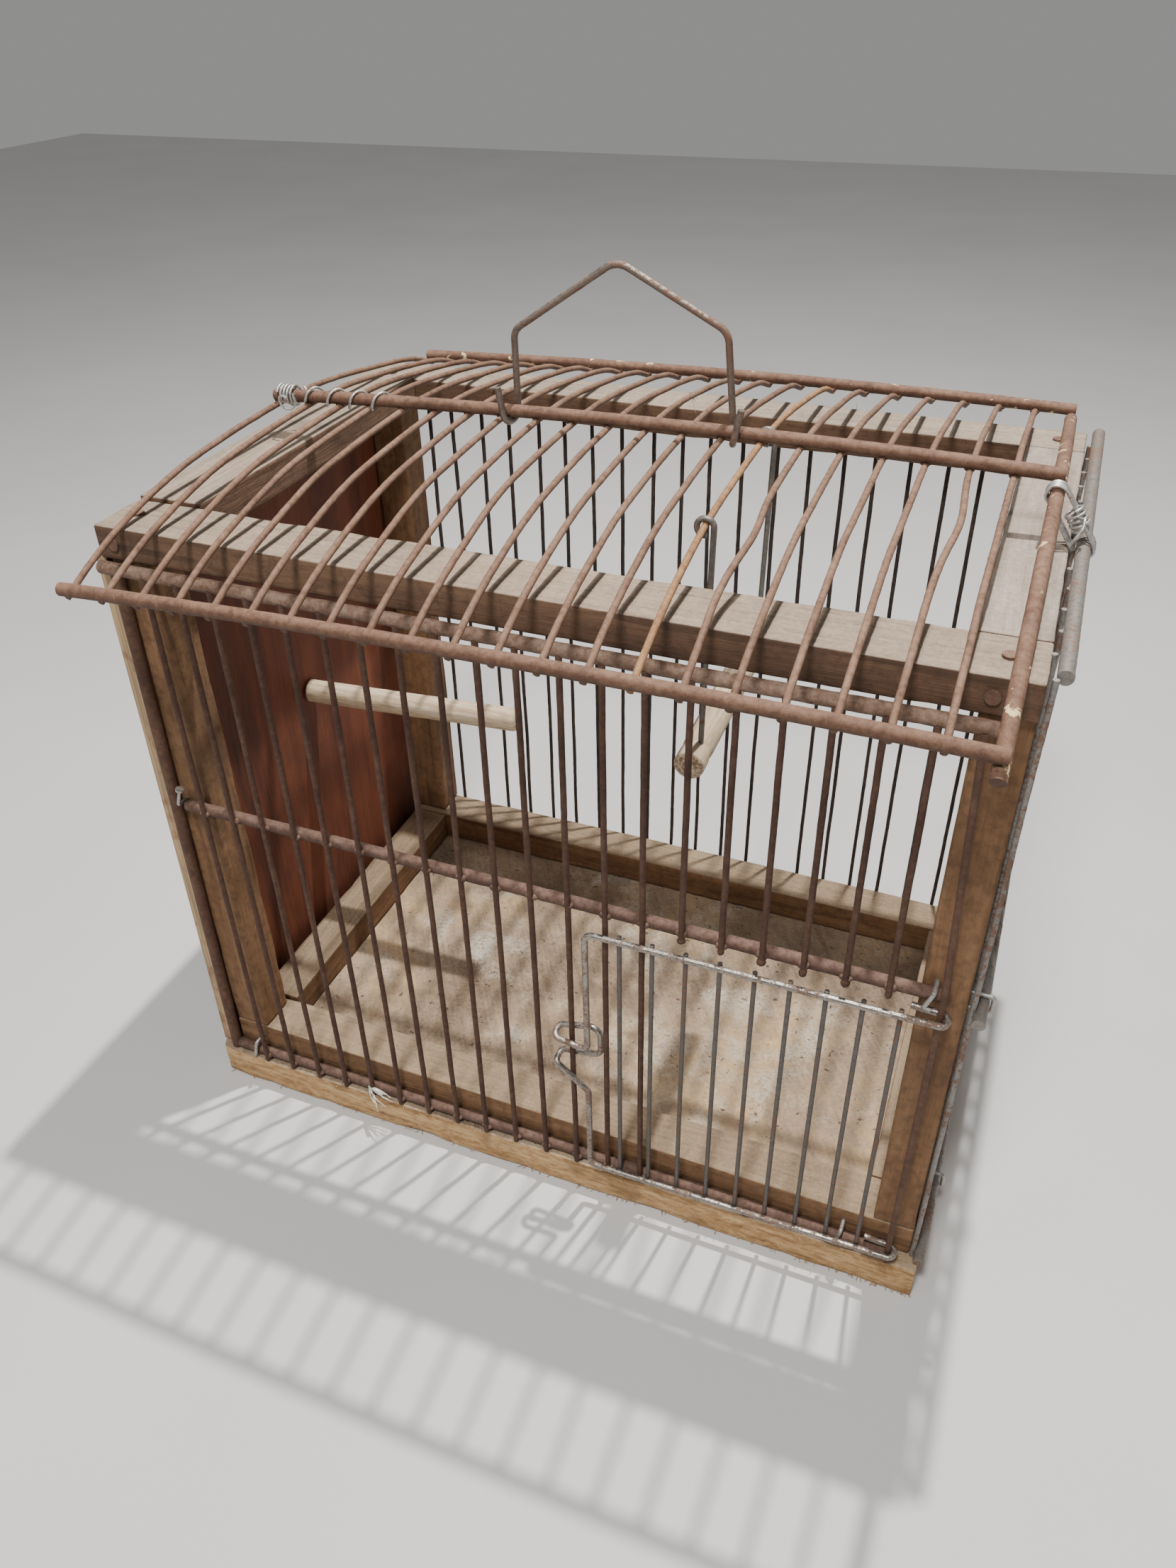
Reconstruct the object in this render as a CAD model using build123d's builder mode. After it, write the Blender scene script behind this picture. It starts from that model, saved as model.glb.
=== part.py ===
from build123d import *
from math import cos, pi, radians, sin
import os

os.makedirs("parts", exist_ok=True)

# A home-made carrying cage for small poultry: a lath frame on a board, wire grilles on three sides,
# a plywood left side, an arched wire rack for a roof, a wire door, a bail handle and two perches.
# Millimetres. X runs to the right along the front, Y to the back, Z up. The origin is under the
# board, in the middle of the frame. The front is at -Y.

# ---- Driving dimensions -------------------------------------------------------------------------
FRAME_X = 230.0            # half the frame's width
FRONT_Y = -146.0           # front face of the posts and the bottom front rail
BACK_Y = 139.5             # back face of the posts and the bottom back rail
BOARD_X = (-242.0, 236.0)
BOARD_Y = (-156.0, 156.0)
BOARD_TOP = 24.5
BOTTOM_RAIL_TOP = 47.7
POST_TOP = 390.3
RAIL_TOP = 409.0
WORN_EDGE = 1.2            # rounding of the old timber's edges

ROD = 7.0                  # the heavy rack rods
FRONT_ROD = 7.2            # the front grille's rods
GRILLE_WIRE = 3.3
WELD = 0.65                # how far two welded wires sink into each other

FRONT_PITCH = 20.79
FRONT_FIRST_X = -202.1
FRONT_LONG_COUNT = 14
FRONT_SHORT_COUNT = 6
TOP_ROD_Z = 386.6
MIDDLE_ROD_Z = 235.5
FRONT_ROD_Y = FRONT_Y - FRONT_ROD / 2
FRONT_WIRE_Y = FRONT_ROD_Y - FRONT_ROD / 2 - GRILLE_WIRE / 2 + WELD

HINGE_X = 218.0            # the door's vertical hinge wire
HINGE_Y = FRONT_WIRE_Y - 0.2
DOOR_WIRE = 3.6
DOOR_HOOK = GRILLE_WIRE / 2 + DOOR_WIRE / 2 + 0.3    # radius of the hooks' centre line
DOOR_LEFT_X = 37.5
DOOR_TOP_Z = 223.5
DOOR_BOTTOM_Z = 31.6        # at the free corner; the hooks ride clear above the bottom rod
DOOR_HOOK_LOW_Z = 33.9

ROOF_PITCH = 20.456
ROOF_FIRST_X = -210.5
ROOF_WIRE_COUNT = 21
ROOF_TILT = 0.013          # the rack stands a little higher towards the right
ROOF_CENTRE_X = 4.3
ROOF_HALF_SPAN = 214.8
SWING_WIRE = 14            # the roof wire that carries the swing

HANDLE_WIRE = 3.6


# ---- Helpers --------------------------------------------------------------------------------------
def save(piece, label):
    """Label a finished piece and write its STEP file."""
    piece.part.label = label
    export_step(piece.part, f"parts/{label}.step")


def span_box(x, y, z):
    """Add a box that runs between the given low and high values."""
    with Locations(((x[0] + x[1]) / 2, (y[0] + y[1]) / 2, (z[0] + z[1]) / 2)):
        Box(x[1] - x[0], y[1] - y[0], z[1] - z[0])


def timber(label, x, y, z, worn=WORN_EDGE):
    """A sawn piece with its long edges a little rounded by wear."""
    with BuildPart() as piece:
        span_box(x, y, z)
        fillet(piece.edges().group_by(SortBy.LENGTH)[-1], worn)
    save(piece, label)


def bar(start, end, diameter):
    """Add a straight round bar between two points."""
    start, end = Vector(start), Vector(end)
    with BuildSketch(Plane(origin=start, z_dir=end - start)) as section:
        Circle(diameter / 2)
    extrude(section.sketch, amount=(end - start).length)


def bent_wire(points, radii, diameter):
    """Add a round wire of straight runs joined by tangent arcs."""
    with BuildLine() as path:
        FilletPolyline(*points, radius=radii)
    with BuildSketch(Plane(origin=path.line @ 0, z_dir=path.line % 0)) as section:
        Circle(diameter / 2)
    sweep(section.sketch, path=path.line)


def nail(head_point, tip_point, diameter=2.8, head=6.5):
    """Add a straight nail: a thin disc head and its shank."""
    head_point, tip_point = Vector(head_point), Vector(tip_point)
    along = (tip_point - head_point).normalized()
    bar(head_point, head_point + along * 1.2, head)
    bar(head_point + along * 1.0, tip_point, diameter)


def straight_rod(label, start, end, diameter):
    """One straight rod in a node of its own."""
    with BuildPart() as rod:
        bar(start, end, diameter)
    save(rod, label)


# ---- Board, rails and posts -----------------------------------------------------------------------
with BuildPart() as base_board:
    span_box(BOARD_X, BOARD_Y, (0, BOARD_TOP))
    upright = base_board.edges().filter_by(Axis.Z)
    fillet(upright.sort_by(Axis.X)[:2].sort_by(Axis.Y)[0], 9)
    fillet(base_board.edges().filter_by(Axis.Z).sort_by(Axis.X)[-2:], 2.5)
    fillet(base_board.faces().sort_by(Axis.Z)[-1].edges(), 1)
save(base_board, "base_board")

LEFT_POST_X = (-228.0, -203.0)
RIGHT_POST_X = (206.3, 229.7)
FRONT_POST_Y = (FRONT_Y, -121.0)
BACK_POST_Y = (115.0, BACK_Y)
BOTTOM_Z = (BOARD_TOP, BOTTOM_RAIL_TOP)
TOP_Z = (POST_TOP, RAIL_TOP)
POST_Z = (BOTTOM_RAIL_TOP, POST_TOP)
TOP_FRONT_Y = (-150.0, -113.6)
TOP_BACK_Y = (117.2, 150.0)
BOTTOM_FRONT_Y = (FRONT_Y, -117.0)
BOTTOM_BACK_Y = (110.3, BACK_Y)

timber("bottom_rail_front", (-228, FRAME_X), BOTTOM_FRONT_Y, BOTTOM_Z)
timber("bottom_rail_back", (-228, FRAME_X), BOTTOM_BACK_Y, BOTTOM_Z)
timber("bottom_rail_left", (-228, -200), (-115.5, 110.3), BOTTOM_Z)
timber("bottom_rail_right", (199.5, FRAME_X), (-117, 110.3), BOTTOM_Z)

timber("post_front_left", LEFT_POST_X, FRONT_POST_Y, POST_Z)
timber("post_front_right", RIGHT_POST_X, FRONT_POST_Y, POST_Z)
timber("post_back_left", LEFT_POST_X, BACK_POST_Y, POST_Z)
timber("post_back_right", RIGHT_POST_X, BACK_POST_Y, POST_Z)

timber("top_rail_front", (-FRAME_X, FRAME_X), TOP_FRONT_Y, TOP_Z)
timber("top_rail_back", (-FRAME_X, FRAME_X), TOP_BACK_Y, TOP_Z)
timber("top_rail_left", (-FRAME_X, -190.6), (-113.6, 117.2), (POST_TOP, RAIL_TOP + 2))
timber("top_rail_right", (198.5, FRAME_X), (-113.6, 117.2), TOP_Z)

# ---- Left side: a plywood sheet that leans against the posts ----------------------------------------
PANEL_FOOT_X = -235.2      # its inner face at the board
PANEL_HEAD_X = -228.3      # its inner face under the top rail
PANEL_TOP_Z = 389.6
PANEL_THICKNESS = 6.6
PANEL_Y = (-148.0, 150.0)


def panel_inner_x(z):
    """The X of the panel's inner face at height z."""
    lean = (PANEL_HEAD_X - PANEL_FOOT_X) / (PANEL_TOP_Z - BOARD_TOP)
    return PANEL_FOOT_X + lean * (z - BOARD_TOP)


with BuildPart() as left_panel:
    with BuildSketch(Plane.XZ.offset(-PANEL_Y[0])):
        with BuildLine():
            Polyline(
                (PANEL_FOOT_X, BOARD_TOP),
                (PANEL_HEAD_X, PANEL_TOP_Z),
                (PANEL_HEAD_X - PANEL_THICKNESS, PANEL_TOP_Z),
                (PANEL_FOOT_X - PANEL_THICKNESS, BOARD_TOP),
                close=True,
            )
        make_face()
    extrude(amount=PANEL_Y[0] - PANEL_Y[1])
save(left_panel, "left_panel")

# ---- Front grille -----------------------------------------------------------------------------------
LEFT_ROD_FOOT_X = -230.0
LEFT_ROD_HEAD_X = -222.0
MIDDLE_ROD_LEFT_X = -217.2
TOP_ROD_Y = FRONT_ROD_Y - 2.4


def left_rod_x(z):
    """The X of the leaning left rod's axis at height z."""
    lean = (LEFT_ROD_HEAD_X - LEFT_ROD_FOOT_X) / (TOP_ROD_Z - BOARD_TOP)
    return LEFT_ROD_FOOT_X + lean * (z - BOARD_TOP)


bottom_rod_z = BOARD_TOP + FRONT_ROD / 2
straight_rod(
    "front_grille_top_rod", (-229.6, TOP_ROD_Y, TOP_ROD_Z), (216, TOP_ROD_Y, TOP_ROD_Z), FRONT_ROD
)
straight_rod(
    "front_grille_middle_rod",
    (MIDDLE_ROD_LEFT_X, FRONT_ROD_Y, MIDDLE_ROD_Z),
    (217.5, FRONT_ROD_Y, MIDDLE_ROD_Z),
    FRONT_ROD,
)
straight_rod(
    "front_grille_bottom_rod",
    (left_rod_x(bottom_rod_z) + 3.2, FRONT_ROD_Y, bottom_rod_z),
    (219.5, FRONT_ROD_Y, bottom_rod_z),
    FRONT_ROD,
)
straight_rod(
    "front_grille_left_rod",
    (LEFT_ROD_FOOT_X, FRONT_ROD_Y, BOARD_TOP),
    (left_rod_x(TOP_ROD_Z - 3), FRONT_ROD_Y, TOP_ROD_Z - 3),
    ROD,
)

front_wire_x = [FRONT_FIRST_X + FRONT_PITCH * i for i in range(FRONT_LONG_COUNT + FRONT_SHORT_COUNT)]
front_wire_top = TOP_ROD_Z - 1.6
with BuildPart() as front_wires_long:
    for x in front_wire_x[:FRONT_LONG_COUNT]:
        bar((x, FRONT_WIRE_Y, BOARD_TOP), (x, FRONT_WIRE_Y, front_wire_top), GRILLE_WIRE)
save(front_wires_long, "front_wires_long")

with BuildPart() as front_wires_short:
    for x in front_wire_x[FRONT_LONG_COUNT:]:
        bar((x, FRONT_WIRE_Y, MIDDLE_ROD_Z - 4.2), (x, FRONT_WIRE_Y, front_wire_top), GRILLE_WIRE)
        with Locations((x, FRONT_WIRE_Y, MIDDLE_ROD_Z - 3.4)):
            Sphere(2.4)
save(front_wires_short, "front_wires_short")

with BuildPart() as hinge_wire:
    bent_wire(
        [(HINGE_X, HINGE_Y, BOARD_TOP + 0.5), (HINGE_X, HINGE_Y, 238), (211, HINGE_Y, front_wire_top)],
        60,
        GRILLE_WIRE,
    )
save(hinge_wire, "hinge_wire")

# ---- Door: one wire bent round as frame, hooks and catch, with light bars welded behind it --------
door_y = HINGE_Y - DOOR_HOOK            # plane of the door's frame wire
behind_y = HINGE_Y + DOOR_HOOK          # plane of the hooks' tails
CATCH_BACK_Y = FRONT_WIRE_Y + GRILLE_WIRE / 2 + DOOR_WIRE / 2 + 0.5
CATCH_TOP_Z = 134.0
CATCH_FOOT_Z = 99.0
TAIL = 14.0
hook_front_x = HINGE_X + DOOR_HOOK      # corner points of a hook, rounded to its radius

door_path = [
    (HINGE_X - TAIL, behind_y, DOOR_TOP_Z + 2),
    (hook_front_x, behind_y, DOOR_TOP_Z + 1),
    (hook_front_x, door_y, DOOR_TOP_Z),
    (DOOR_LEFT_X, door_y, DOOR_TOP_Z),
    (DOOR_LEFT_X, door_y, CATCH_TOP_Z),
    (16.8, door_y, 137.5),
    (16.8, CATCH_BACK_Y, 140.0),
    (42.6, CATCH_BACK_Y, 147.0),
    (42.6, CATCH_BACK_Y, 124.0),
    (17.4, CATCH_BACK_Y, 119.5),
    (17.4, door_y, 116.5),
    (DOOR_LEFT_X, door_y, CATCH_FOOT_Z),
    (DOOR_LEFT_X, door_y, DOOR_BOTTOM_Z),
    (hook_front_x, door_y, DOOR_HOOK_LOW_Z),
    (hook_front_x, behind_y, DOOR_HOOK_LOW_Z + 1),
    (HINGE_X - TAIL, behind_y, DOOR_HOOK_LOW_Z + 2),
]
hook_radius = DOOR_HOOK - 0.05
door_radii = [hook_radius] * 2 + [5, 4, 3.6, 3.6, 6, 6, 3.4, 3.4, 5, 5] + [hook_radius] * 2
with BuildPart() as door_frame_wire:
    bent_wire(door_path, door_radii, DOOR_WIRE)
save(door_frame_wire, "door_frame_wire")

DOOR_BAR = 2.6
DOOR_BAR_PITCH = 18.05
DOOR_BAR_COUNT = 9
door_bar_y = door_y + DOOR_WIRE / 2 + DOOR_BAR / 2 - 0.5
with BuildPart() as door_bars:
    for i in range(DOOR_BAR_COUNT):
        x = 56 + DOOR_BAR_PITCH * i
        bar((x, door_bar_y, DOOR_BOTTOM_Z - 2.4), (x, door_bar_y, DOOR_TOP_Z + 1.6), DOOR_BAR)
save(door_bars, "door_bars")

# ---- Back grille --------------------------------------------------------------------------------------
BACK_WIRE = 2.7
BACK_PITCH = 20.76
BACK_COUNT = 20
BACK_TOP_ROD_Z = POST_TOP - ROD / 2 - 0.4
back_wire_y = BACK_Y + BACK_WIRE / 2
back_rod_y = back_wire_y + BACK_WIRE / 2 + ROD / 2 - WELD
low_rod_z = BOARD_TOP + ROD / 2
with BuildPart() as back_wires:
    for i in range(BACK_COUNT):
        x = -197.3 + BACK_PITCH * i
        bar((x, back_wire_y, BOARD_TOP), (x, back_wire_y, POST_TOP), BACK_WIRE)
save(back_wires, "back_wires")
for label, z in (("back_grille_top_rod", BACK_TOP_ROD_Z), ("back_grille_bottom_rod", low_rod_z)):
    straight_rod(label, (-226, back_rod_y, z), (226, back_rod_y, z), ROD)

# ---- Right grille ---------------------------------------------------------------------------------------
RIGHT_WIRE = 2.8
RIGHT_PITCH = 20.8
RIGHT_COUNT = 14
RIGHT_TOP_ROD_Z = RAIL_TOP
RIGHT_MIDDLE_ROD_Z = 223.0
right_wire_x = FRAME_X + RIGHT_WIRE / 2
right_rod_x = right_wire_x + RIGHT_WIRE / 2 + ROD / 2 - WELD
with BuildPart() as right_wires:
    for i in range(RIGHT_COUNT):
        y = -145 + RIGHT_PITCH * i
        bar((right_wire_x, y, BOARD_TOP), (right_wire_x, y, RIGHT_TOP_ROD_Z), RIGHT_WIRE)
save(right_wires, "right_wires")
for label, front, back, z in (
    ("right_grille_top_rod", -143, 148, RIGHT_TOP_ROD_Z),
    ("right_grille_middle_rod", -151, 146, RIGHT_MIDDLE_ROD_Z),
    ("right_grille_bottom_rod", -151, 146, low_rod_z),
):
    straight_rod(label, (right_rod_x, front, z), (right_rod_x, back, z), ROD)

# ---- Roof: an arched oven rack laid over the rails -----------------------------------------------------
# Centre line of the first thin wire, front to back; the other wires are the same shape, lifted.
ROOF_PROFILE = (
    (-195.5, 392.6), (-177, 401.4), (-150, 411.1), (-101, 422.3), (-59, 426.2),
    (-5, 428.2), (37, 427.2), (93, 420.6), (150, 411.1), (178, 401.6),
)
ROOF_RADII = [60, 100, 120, 300, 300, 250, 250, 80]


def roof_lift(x, y):
    """How much higher the rack is at (x, y) than along its first wire: a tilt and a crown."""
    crown = 4.9 - 1.1 * abs(y + 5) / 185
    across = (x - ROOF_CENTRE_X) / ROOF_HALF_SPAN
    return ROOF_TILT * (x - ROOF_FIRST_X) + crown * (1 - across**2)


def roof_wire_z(x, y):
    """Height of a thin roof wire's axis at (x, y)."""
    for (y0, z0), (y1, z1) in zip(ROOF_PROFILE, ROOF_PROFILE[1:]):
        if y <= y1:
            break
    return z0 + (z1 - z0) * (y - y0) / (y1 - y0) + roof_lift(x, y)


def roof_path(x, drop=0.0):
    """Points of one roof wire's axis, lowered by drop."""
    return [(x, y, z - drop + roof_lift(x, y)) for y, z in ROOF_PROFILE]


with BuildPart() as roof_wires:
    for i in range(ROOF_WIRE_COUNT):
        bent_wire(roof_path(ROOF_FIRST_X + ROOF_PITCH * i), ROOF_RADII, GRILLE_WIRE)
save(roof_wires, "roof_wires")

side_rod_x = ROOF_FIRST_X + ROOF_PITCH * ROOF_WIRE_COUNT
side_drop = (ROD - GRILLE_WIRE) / 2
side_path = roof_path(side_rod_x, side_drop)
first, second = Vector(side_path[0]), Vector(side_path[1])
side_path[0] = first + (first - second).normalized() * 6
with BuildPart() as roof_side_rod:
    bent_wire(side_path, ROOF_RADII, ROD)
save(roof_side_rod, "roof_side_rod")

rod_rise = (ROD + GRILLE_WIRE) / 2 - WELD     # from a wire's axis to the axis of a rod laid over it
RACK_LEFT_X = -212.6
RACK_RIGHT_X = 221.5


def rack_rod_point(x, wire_y, slope_deg):
    """A point on a cross rod's axis, square above the wires that it crosses at wire_y."""
    lean = radians(slope_deg)
    return Vector(x, wire_y - rod_rise * sin(lean), roof_wire_z(x, wire_y) + rod_rise * cos(lean))


MIDDLE_ROD_Y = -4.9
for label, wire_y, slope in (
    ("roof_front_rod", -194.0, 25.6),
    ("roof_middle_rod", MIDDLE_ROD_Y, 0.0),
    ("roof_back_rod", 175.5, -18.7),
):
    with BuildPart() as cross_rod:
        with BuildLine() as bow:
            ThreePointArc(
                rack_rod_point(RACK_LEFT_X, wire_y, slope),
                rack_rod_point(ROOF_CENTRE_X, wire_y, slope),
                rack_rod_point(RACK_RIGHT_X, wire_y, slope),
            )
        with BuildSketch(Plane(origin=bow.line @ 0, z_dir=bow.line % 0)):
            Circle(ROD / 2)
        sweep()
    save(cross_rod, label)

# ---- Handle: a bail whose two ends are bent round the roof's middle rod ---------------------------------
loop_radius = ROD / 2 + HANDLE_WIRE / 2 + 0.35
HANDLE_PEAK_Z = 516.5


def handle_end(x, tail_x, inner):
    """Points of one bent end, from the tail's tip to the foot of its leg; inner is +1 or -1."""
    z = rack_rod_point(x, MIDDLE_ROD_Y, 0).Z
    front, back = MIDDLE_ROD_Y - loop_radius, MIDDLE_ROD_Y + loop_radius + 0.9
    return [
        (tail_x, front - 0.4, z + 13.5),
        (x - inner * 1.2, front, z - loop_radius),
        (x + inner * 1.2, back, z - loop_radius),
    ]


HANDLE_LEFT_X = -61.8
HANDLE_RIGHT_X = 61.6
left_end = handle_end(HANDLE_LEFT_X, -66.2, 1)
right_end = handle_end(HANDLE_RIGHT_X, 66.8, -1)
handle_path = left_end + [
    (-57.6, MIDDLE_ROD_Y, 481),
    (-0.8, MIDDLE_ROD_Y, HANDLE_PEAK_Z + 1.5),
    (56.6, MIDDLE_ROD_Y, 489),
] + right_end[::-1]
bend = loop_radius - 0.1
with BuildPart() as handle:
    bent_wire(handle_path, [bend, bend, 9, 12, 9, bend, bend], HANDLE_WIRE)
save(handle, "handle")

# ---- Perches ----------------------------------------------------------------------------------------------
PERCH = 16.0
PERCH_Z = 226.0
perch_start = Vector(panel_inner_x(PERCH_Z) + 0.7, 0, PERCH_Z)
perch_end = Vector(-74, 9, 230)
perch_along = (perch_end - perch_start).normalized()
with BuildPart() as perch_dowel:
    bar(perch_start, perch_end, PERCH)
    fillet(perch_dowel.faces().sort_by(Axis.X)[-1].edges(), 2.5)
save(perch_dowel, "perch_dowel")

with BuildPart() as perch_screw:
    head = perch_start - perch_along * (PANEL_THICKNESS + 1.6)
    bar(head, head + perch_along * 1.8, 8)
    bar(head + perch_along * 1.5, head + perch_along * 40, 4)
save(perch_screw, "perch_screw")

# The swing: a dowel on two wire hangers whose eyes ring one roof wire.
SWING_DOWEL = 16.4
HANGER_WIRE = 2.9
EYE_BORE = 5.2
EYE_DROP = 0.7                       # the eye hangs on the roof wire, a little below its axis
HANGER_LENGTH = 122.5                # from the roof wire's axis to the dowel's axis
HANGER_Y = (-97.0, 10.0)
DOWEL_Y = (-110.0, 22.0)
swing_x = ROOF_FIRST_X + ROOF_PITCH * SWING_WIRE
swing_axis_z = [roof_wire_z(swing_x, y) for y in HANGER_Y]
swing_slope = (swing_axis_z[1] - swing_axis_z[0]) / (HANGER_Y[1] - HANGER_Y[0])


def swing_z(y):
    """Height of the swing's turning axis at y."""
    return swing_axis_z[0] + swing_slope * (y - HANGER_Y[0])


def dowel_point(y):
    """A point on the swing dowel's axis."""
    return (swing_x, y, swing_z(y) - HANGER_LENGTH)


eye_radius = (EYE_BORE + HANGER_WIRE) / 2
for label, y in (("swing_hanger_front", HANGER_Y[0]), ("swing_hanger_back", HANGER_Y[1])):
    z = swing_z(y) - EYE_DROP
    with BuildPart() as hanger:
        bent_wire(
            [
                (swing_x + 0.6, y, z - eye_radius),
                (swing_x - eye_radius, y, z - eye_radius),
                (swing_x - eye_radius, y, z + eye_radius),
                (swing_x + eye_radius, y, z + eye_radius),
                (swing_x + eye_radius * 0.55, y, swing_z(y) - HANGER_LENGTH + 1),
            ],
            [eye_radius - 0.1, eye_radius - 0.1, eye_radius - 0.1],
            HANGER_WIRE,
        )
    save(hanger, label)

with BuildPart() as swing_dowel:
    bar(dowel_point(DOWEL_Y[0]), dowel_point(DOWEL_Y[1]), SWING_DOWEL)
    fillet(swing_dowel.edges().filter_by(GeomType.CIRCLE), 1)
save(swing_dowel, "swing_dowel")

# ---- Tie wires that hold the roof down ---------------------------------------------------------------------
TIE_WIRE = 1.6
TIE_STEPS = 8                        # corners in one turn of a wound wire


def wound_wire(centre, turns, phase, radius):
    """Corner points of a wire wound round a moving centre; centre takes 0 to 1 and gives (x, y, z)."""
    count = int(turns * TIE_STEPS)
    points = []
    for i in range(count + 1):
        x, y, z = centre(i / count)
        angle = radians(phase) + 2 * pi * i / TIE_STEPS
        points.append((x, y + radius * cos(angle), z + radius * sin(angle)))
    return points


tie_radius = (ROD + TIE_WIRE) / 2 + 0.6
TIE_START_X = ROOF_FIRST_X + ROOF_PITCH * 3.5
TIE_TURNS = 3.25


def tie_centre(along):
    """The middle rod's axis under the left tie wire, from its free end to the rod's left end."""
    x = TIE_START_X - ROOF_PITCH * TIE_TURNS * along
    rod = rack_rod_point(x, MIDDLE_ROD_Y, 0)
    return (x, rod.Y, rod.Z)


with BuildPart() as tie_wire_left:
    wound = wound_wire(tie_centre, TIE_TURNS, -90, tie_radius)
    bent_wire(wound, 2.4, TIE_WIRE)
save(tie_wire_left, "tie_wire_left")

SIDE_TIE_Y = (-13.0, -16.5)
with BuildPart() as tie_wire_right:
    for y in SIDE_TIE_Y:
        high = Vector(side_rod_x, y, roof_wire_z(side_rod_x, y) - side_drop)
        low = Vector(right_rod_x, y, RIGHT_TOP_ROD_Z)
        along = (low - high).normalized()
        square = Vector(along.Z, 0, -along.X) * -1
        reach = tie_radius
        corners = [
            high + square * reach,
            high + square * reach - along * reach,
            high - square * reach - along * reach,
            low - square * reach + along * reach,
            low + square * reach + along * reach,
            high + square * reach + along * 2,
        ]
        bent_wire(corners, [4, 4, 4, 1.5], TIE_WIRE)
save(tie_wire_right, "tie_wire_right")

# ---- Staples, clips and nails ---------------------------------------------------------------------------------
STAPLE_WIRE = 2.4
DEPTH = 10.0                         # how far a staple's legs go into the wood

with BuildPart() as front_clips:
    crown_y = FRONT_ROD_Y - FRONT_ROD / 2 - STAPLE_WIRE / 2 - 0.2
    wood_y = FRONT_Y + DEPTH
    # A nail bent up beside the middle rod's left end.
    bent_wire([(-219.2, wood_y, 237.6), (-219.2, crown_y, 237.6), (-215.2, crown_y, 249.6)], 2, 2)
    bar((-215.2, crown_y, 249.5), (-214.8, crown_y, 250.8), 4.8)
    # A hook over its right end.
    bent_wire(
        [(213.4, wood_y, 240.4), (213.4, crown_y, 240.4), (209.8, crown_y, 229.6), (213, crown_y, 228.8)],
        [1.6, 1.2],
        STAPLE_WIRE,
    )
    # Clips that hold the bottom rod down on the board.
    for x in (-208.5, 190.8):
        bent_wire([(x, wood_y, 38.5), (x, crown_y, 38.5), (x - 3, crown_y, 26)], 2, STAPLE_WIRE)
save(front_clips, "front_clips")

with BuildPart() as right_staples:
    inner_x = FRAME_X - DEPTH + 1
    crown_x = right_rod_x + ROD / 2 + STAPLE_WIRE / 2 + 0.2
    for y in (-111.5, 112.5):        # over the top rod, from the rail's side into its top
        z = RIGHT_TOP_ROD_Z
        low, high = z - ROD / 2 - STAPLE_WIRE / 2 - 0.2, z + ROD / 2 + STAPLE_WIRE / 2 + 0.2
        bent_wire(
            [(inner_x, y, low), (crown_x, y, low), (crown_x, y, high), (226, y, high), (226, y, 402)],
            [2.4, 2.4, 2.4],
            STAPLE_WIRE,
        )
    for y in (-134.5, 133.0):        # over the middle rod, into the posts
        z = RIGHT_MIDDLE_ROD_Z
        bent_wire(
            [(inner_x, y, z - 5), (crown_x, y, z - 5), (crown_x, y, z + 5), (inner_x, y, z + 5)],
            2,
            STAPLE_WIRE,
        )
    for y in (-93.0, 94.0):          # over the bottom rod, into the bottom rail
        bent_wire([(inner_x, y, 36), (crown_x, y, 36), (crown_x, y, 27)], 2, STAPLE_WIRE)
save(right_staples, "right_staples")

with BuildPart() as back_staples:
    wood_y = BACK_Y - DEPTH
    crown_y = back_rod_y + ROD / 2 + STAPLE_WIRE / 2 + 0.2
    for x in (-222, 223):            # over the top rod, into the posts
        low, high = BACK_TOP_ROD_Z - 5, BACK_TOP_ROD_Z + 2
        bent_wire([(x, wood_y, low), (x, crown_y, low), (x, crown_y, high)], 2, STAPLE_WIRE)
    for x in (-187, 0, 187):         # over the bottom rod, into the bottom rail
        bent_wire([(x, wood_y, 36), (x, crown_y, 36), (x, crown_y, 27)], 2, STAPLE_WIRE)
save(back_staples, "back_staples")

with BuildPart() as top_nails:
    for x in (-219, 211):            # through the front rail into the ends of the side rails
        nail((x, -150.9, 399.5), (x, -92, 399.5))
        nail((x, 150.9, 399.5), (x, 92, 399.5))
    for x, y in ((-216, -131), (214, -132), (-212, 125), (215, 131)):
        nail((x, y, RAIL_TOP + 0.9), (x, y, 352))
save(top_nails, "top_nails")

with BuildPart() as corner_nails:
    for x in (-215.5, 218):          # up through the board and bottom rails into the posts
        for y in (-133.5, 127):
            nail((x, y, 0.3), (x, y, 84), 3.4, 7)
save(corner_nails, "corner_nails")

with BuildPart() as panel_nails:
    for y in (-133.5, 127):          # through the plywood into the left posts
        for z in (90, 350):
            outside = panel_inner_x(z) - PANEL_THICKNESS - 0.7
            nail((outside, y, z), (outside + 32, y, z), 2.2, 5)
save(panel_nails, "panel_nails")
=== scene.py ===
"""Looks for a home-made carrying cage for small poultry: timber, rusty rack wire, plywood and dowels.

Everything is in metres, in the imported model's frame: X to the right along the front, Y to the back,
Z up, with the origin under the base board.
"""

import logging
import math
import random
from dataclasses import dataclass, field
from enum import Enum
from typing import Callable

import bpy
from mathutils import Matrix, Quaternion, Vector, noise


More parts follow.
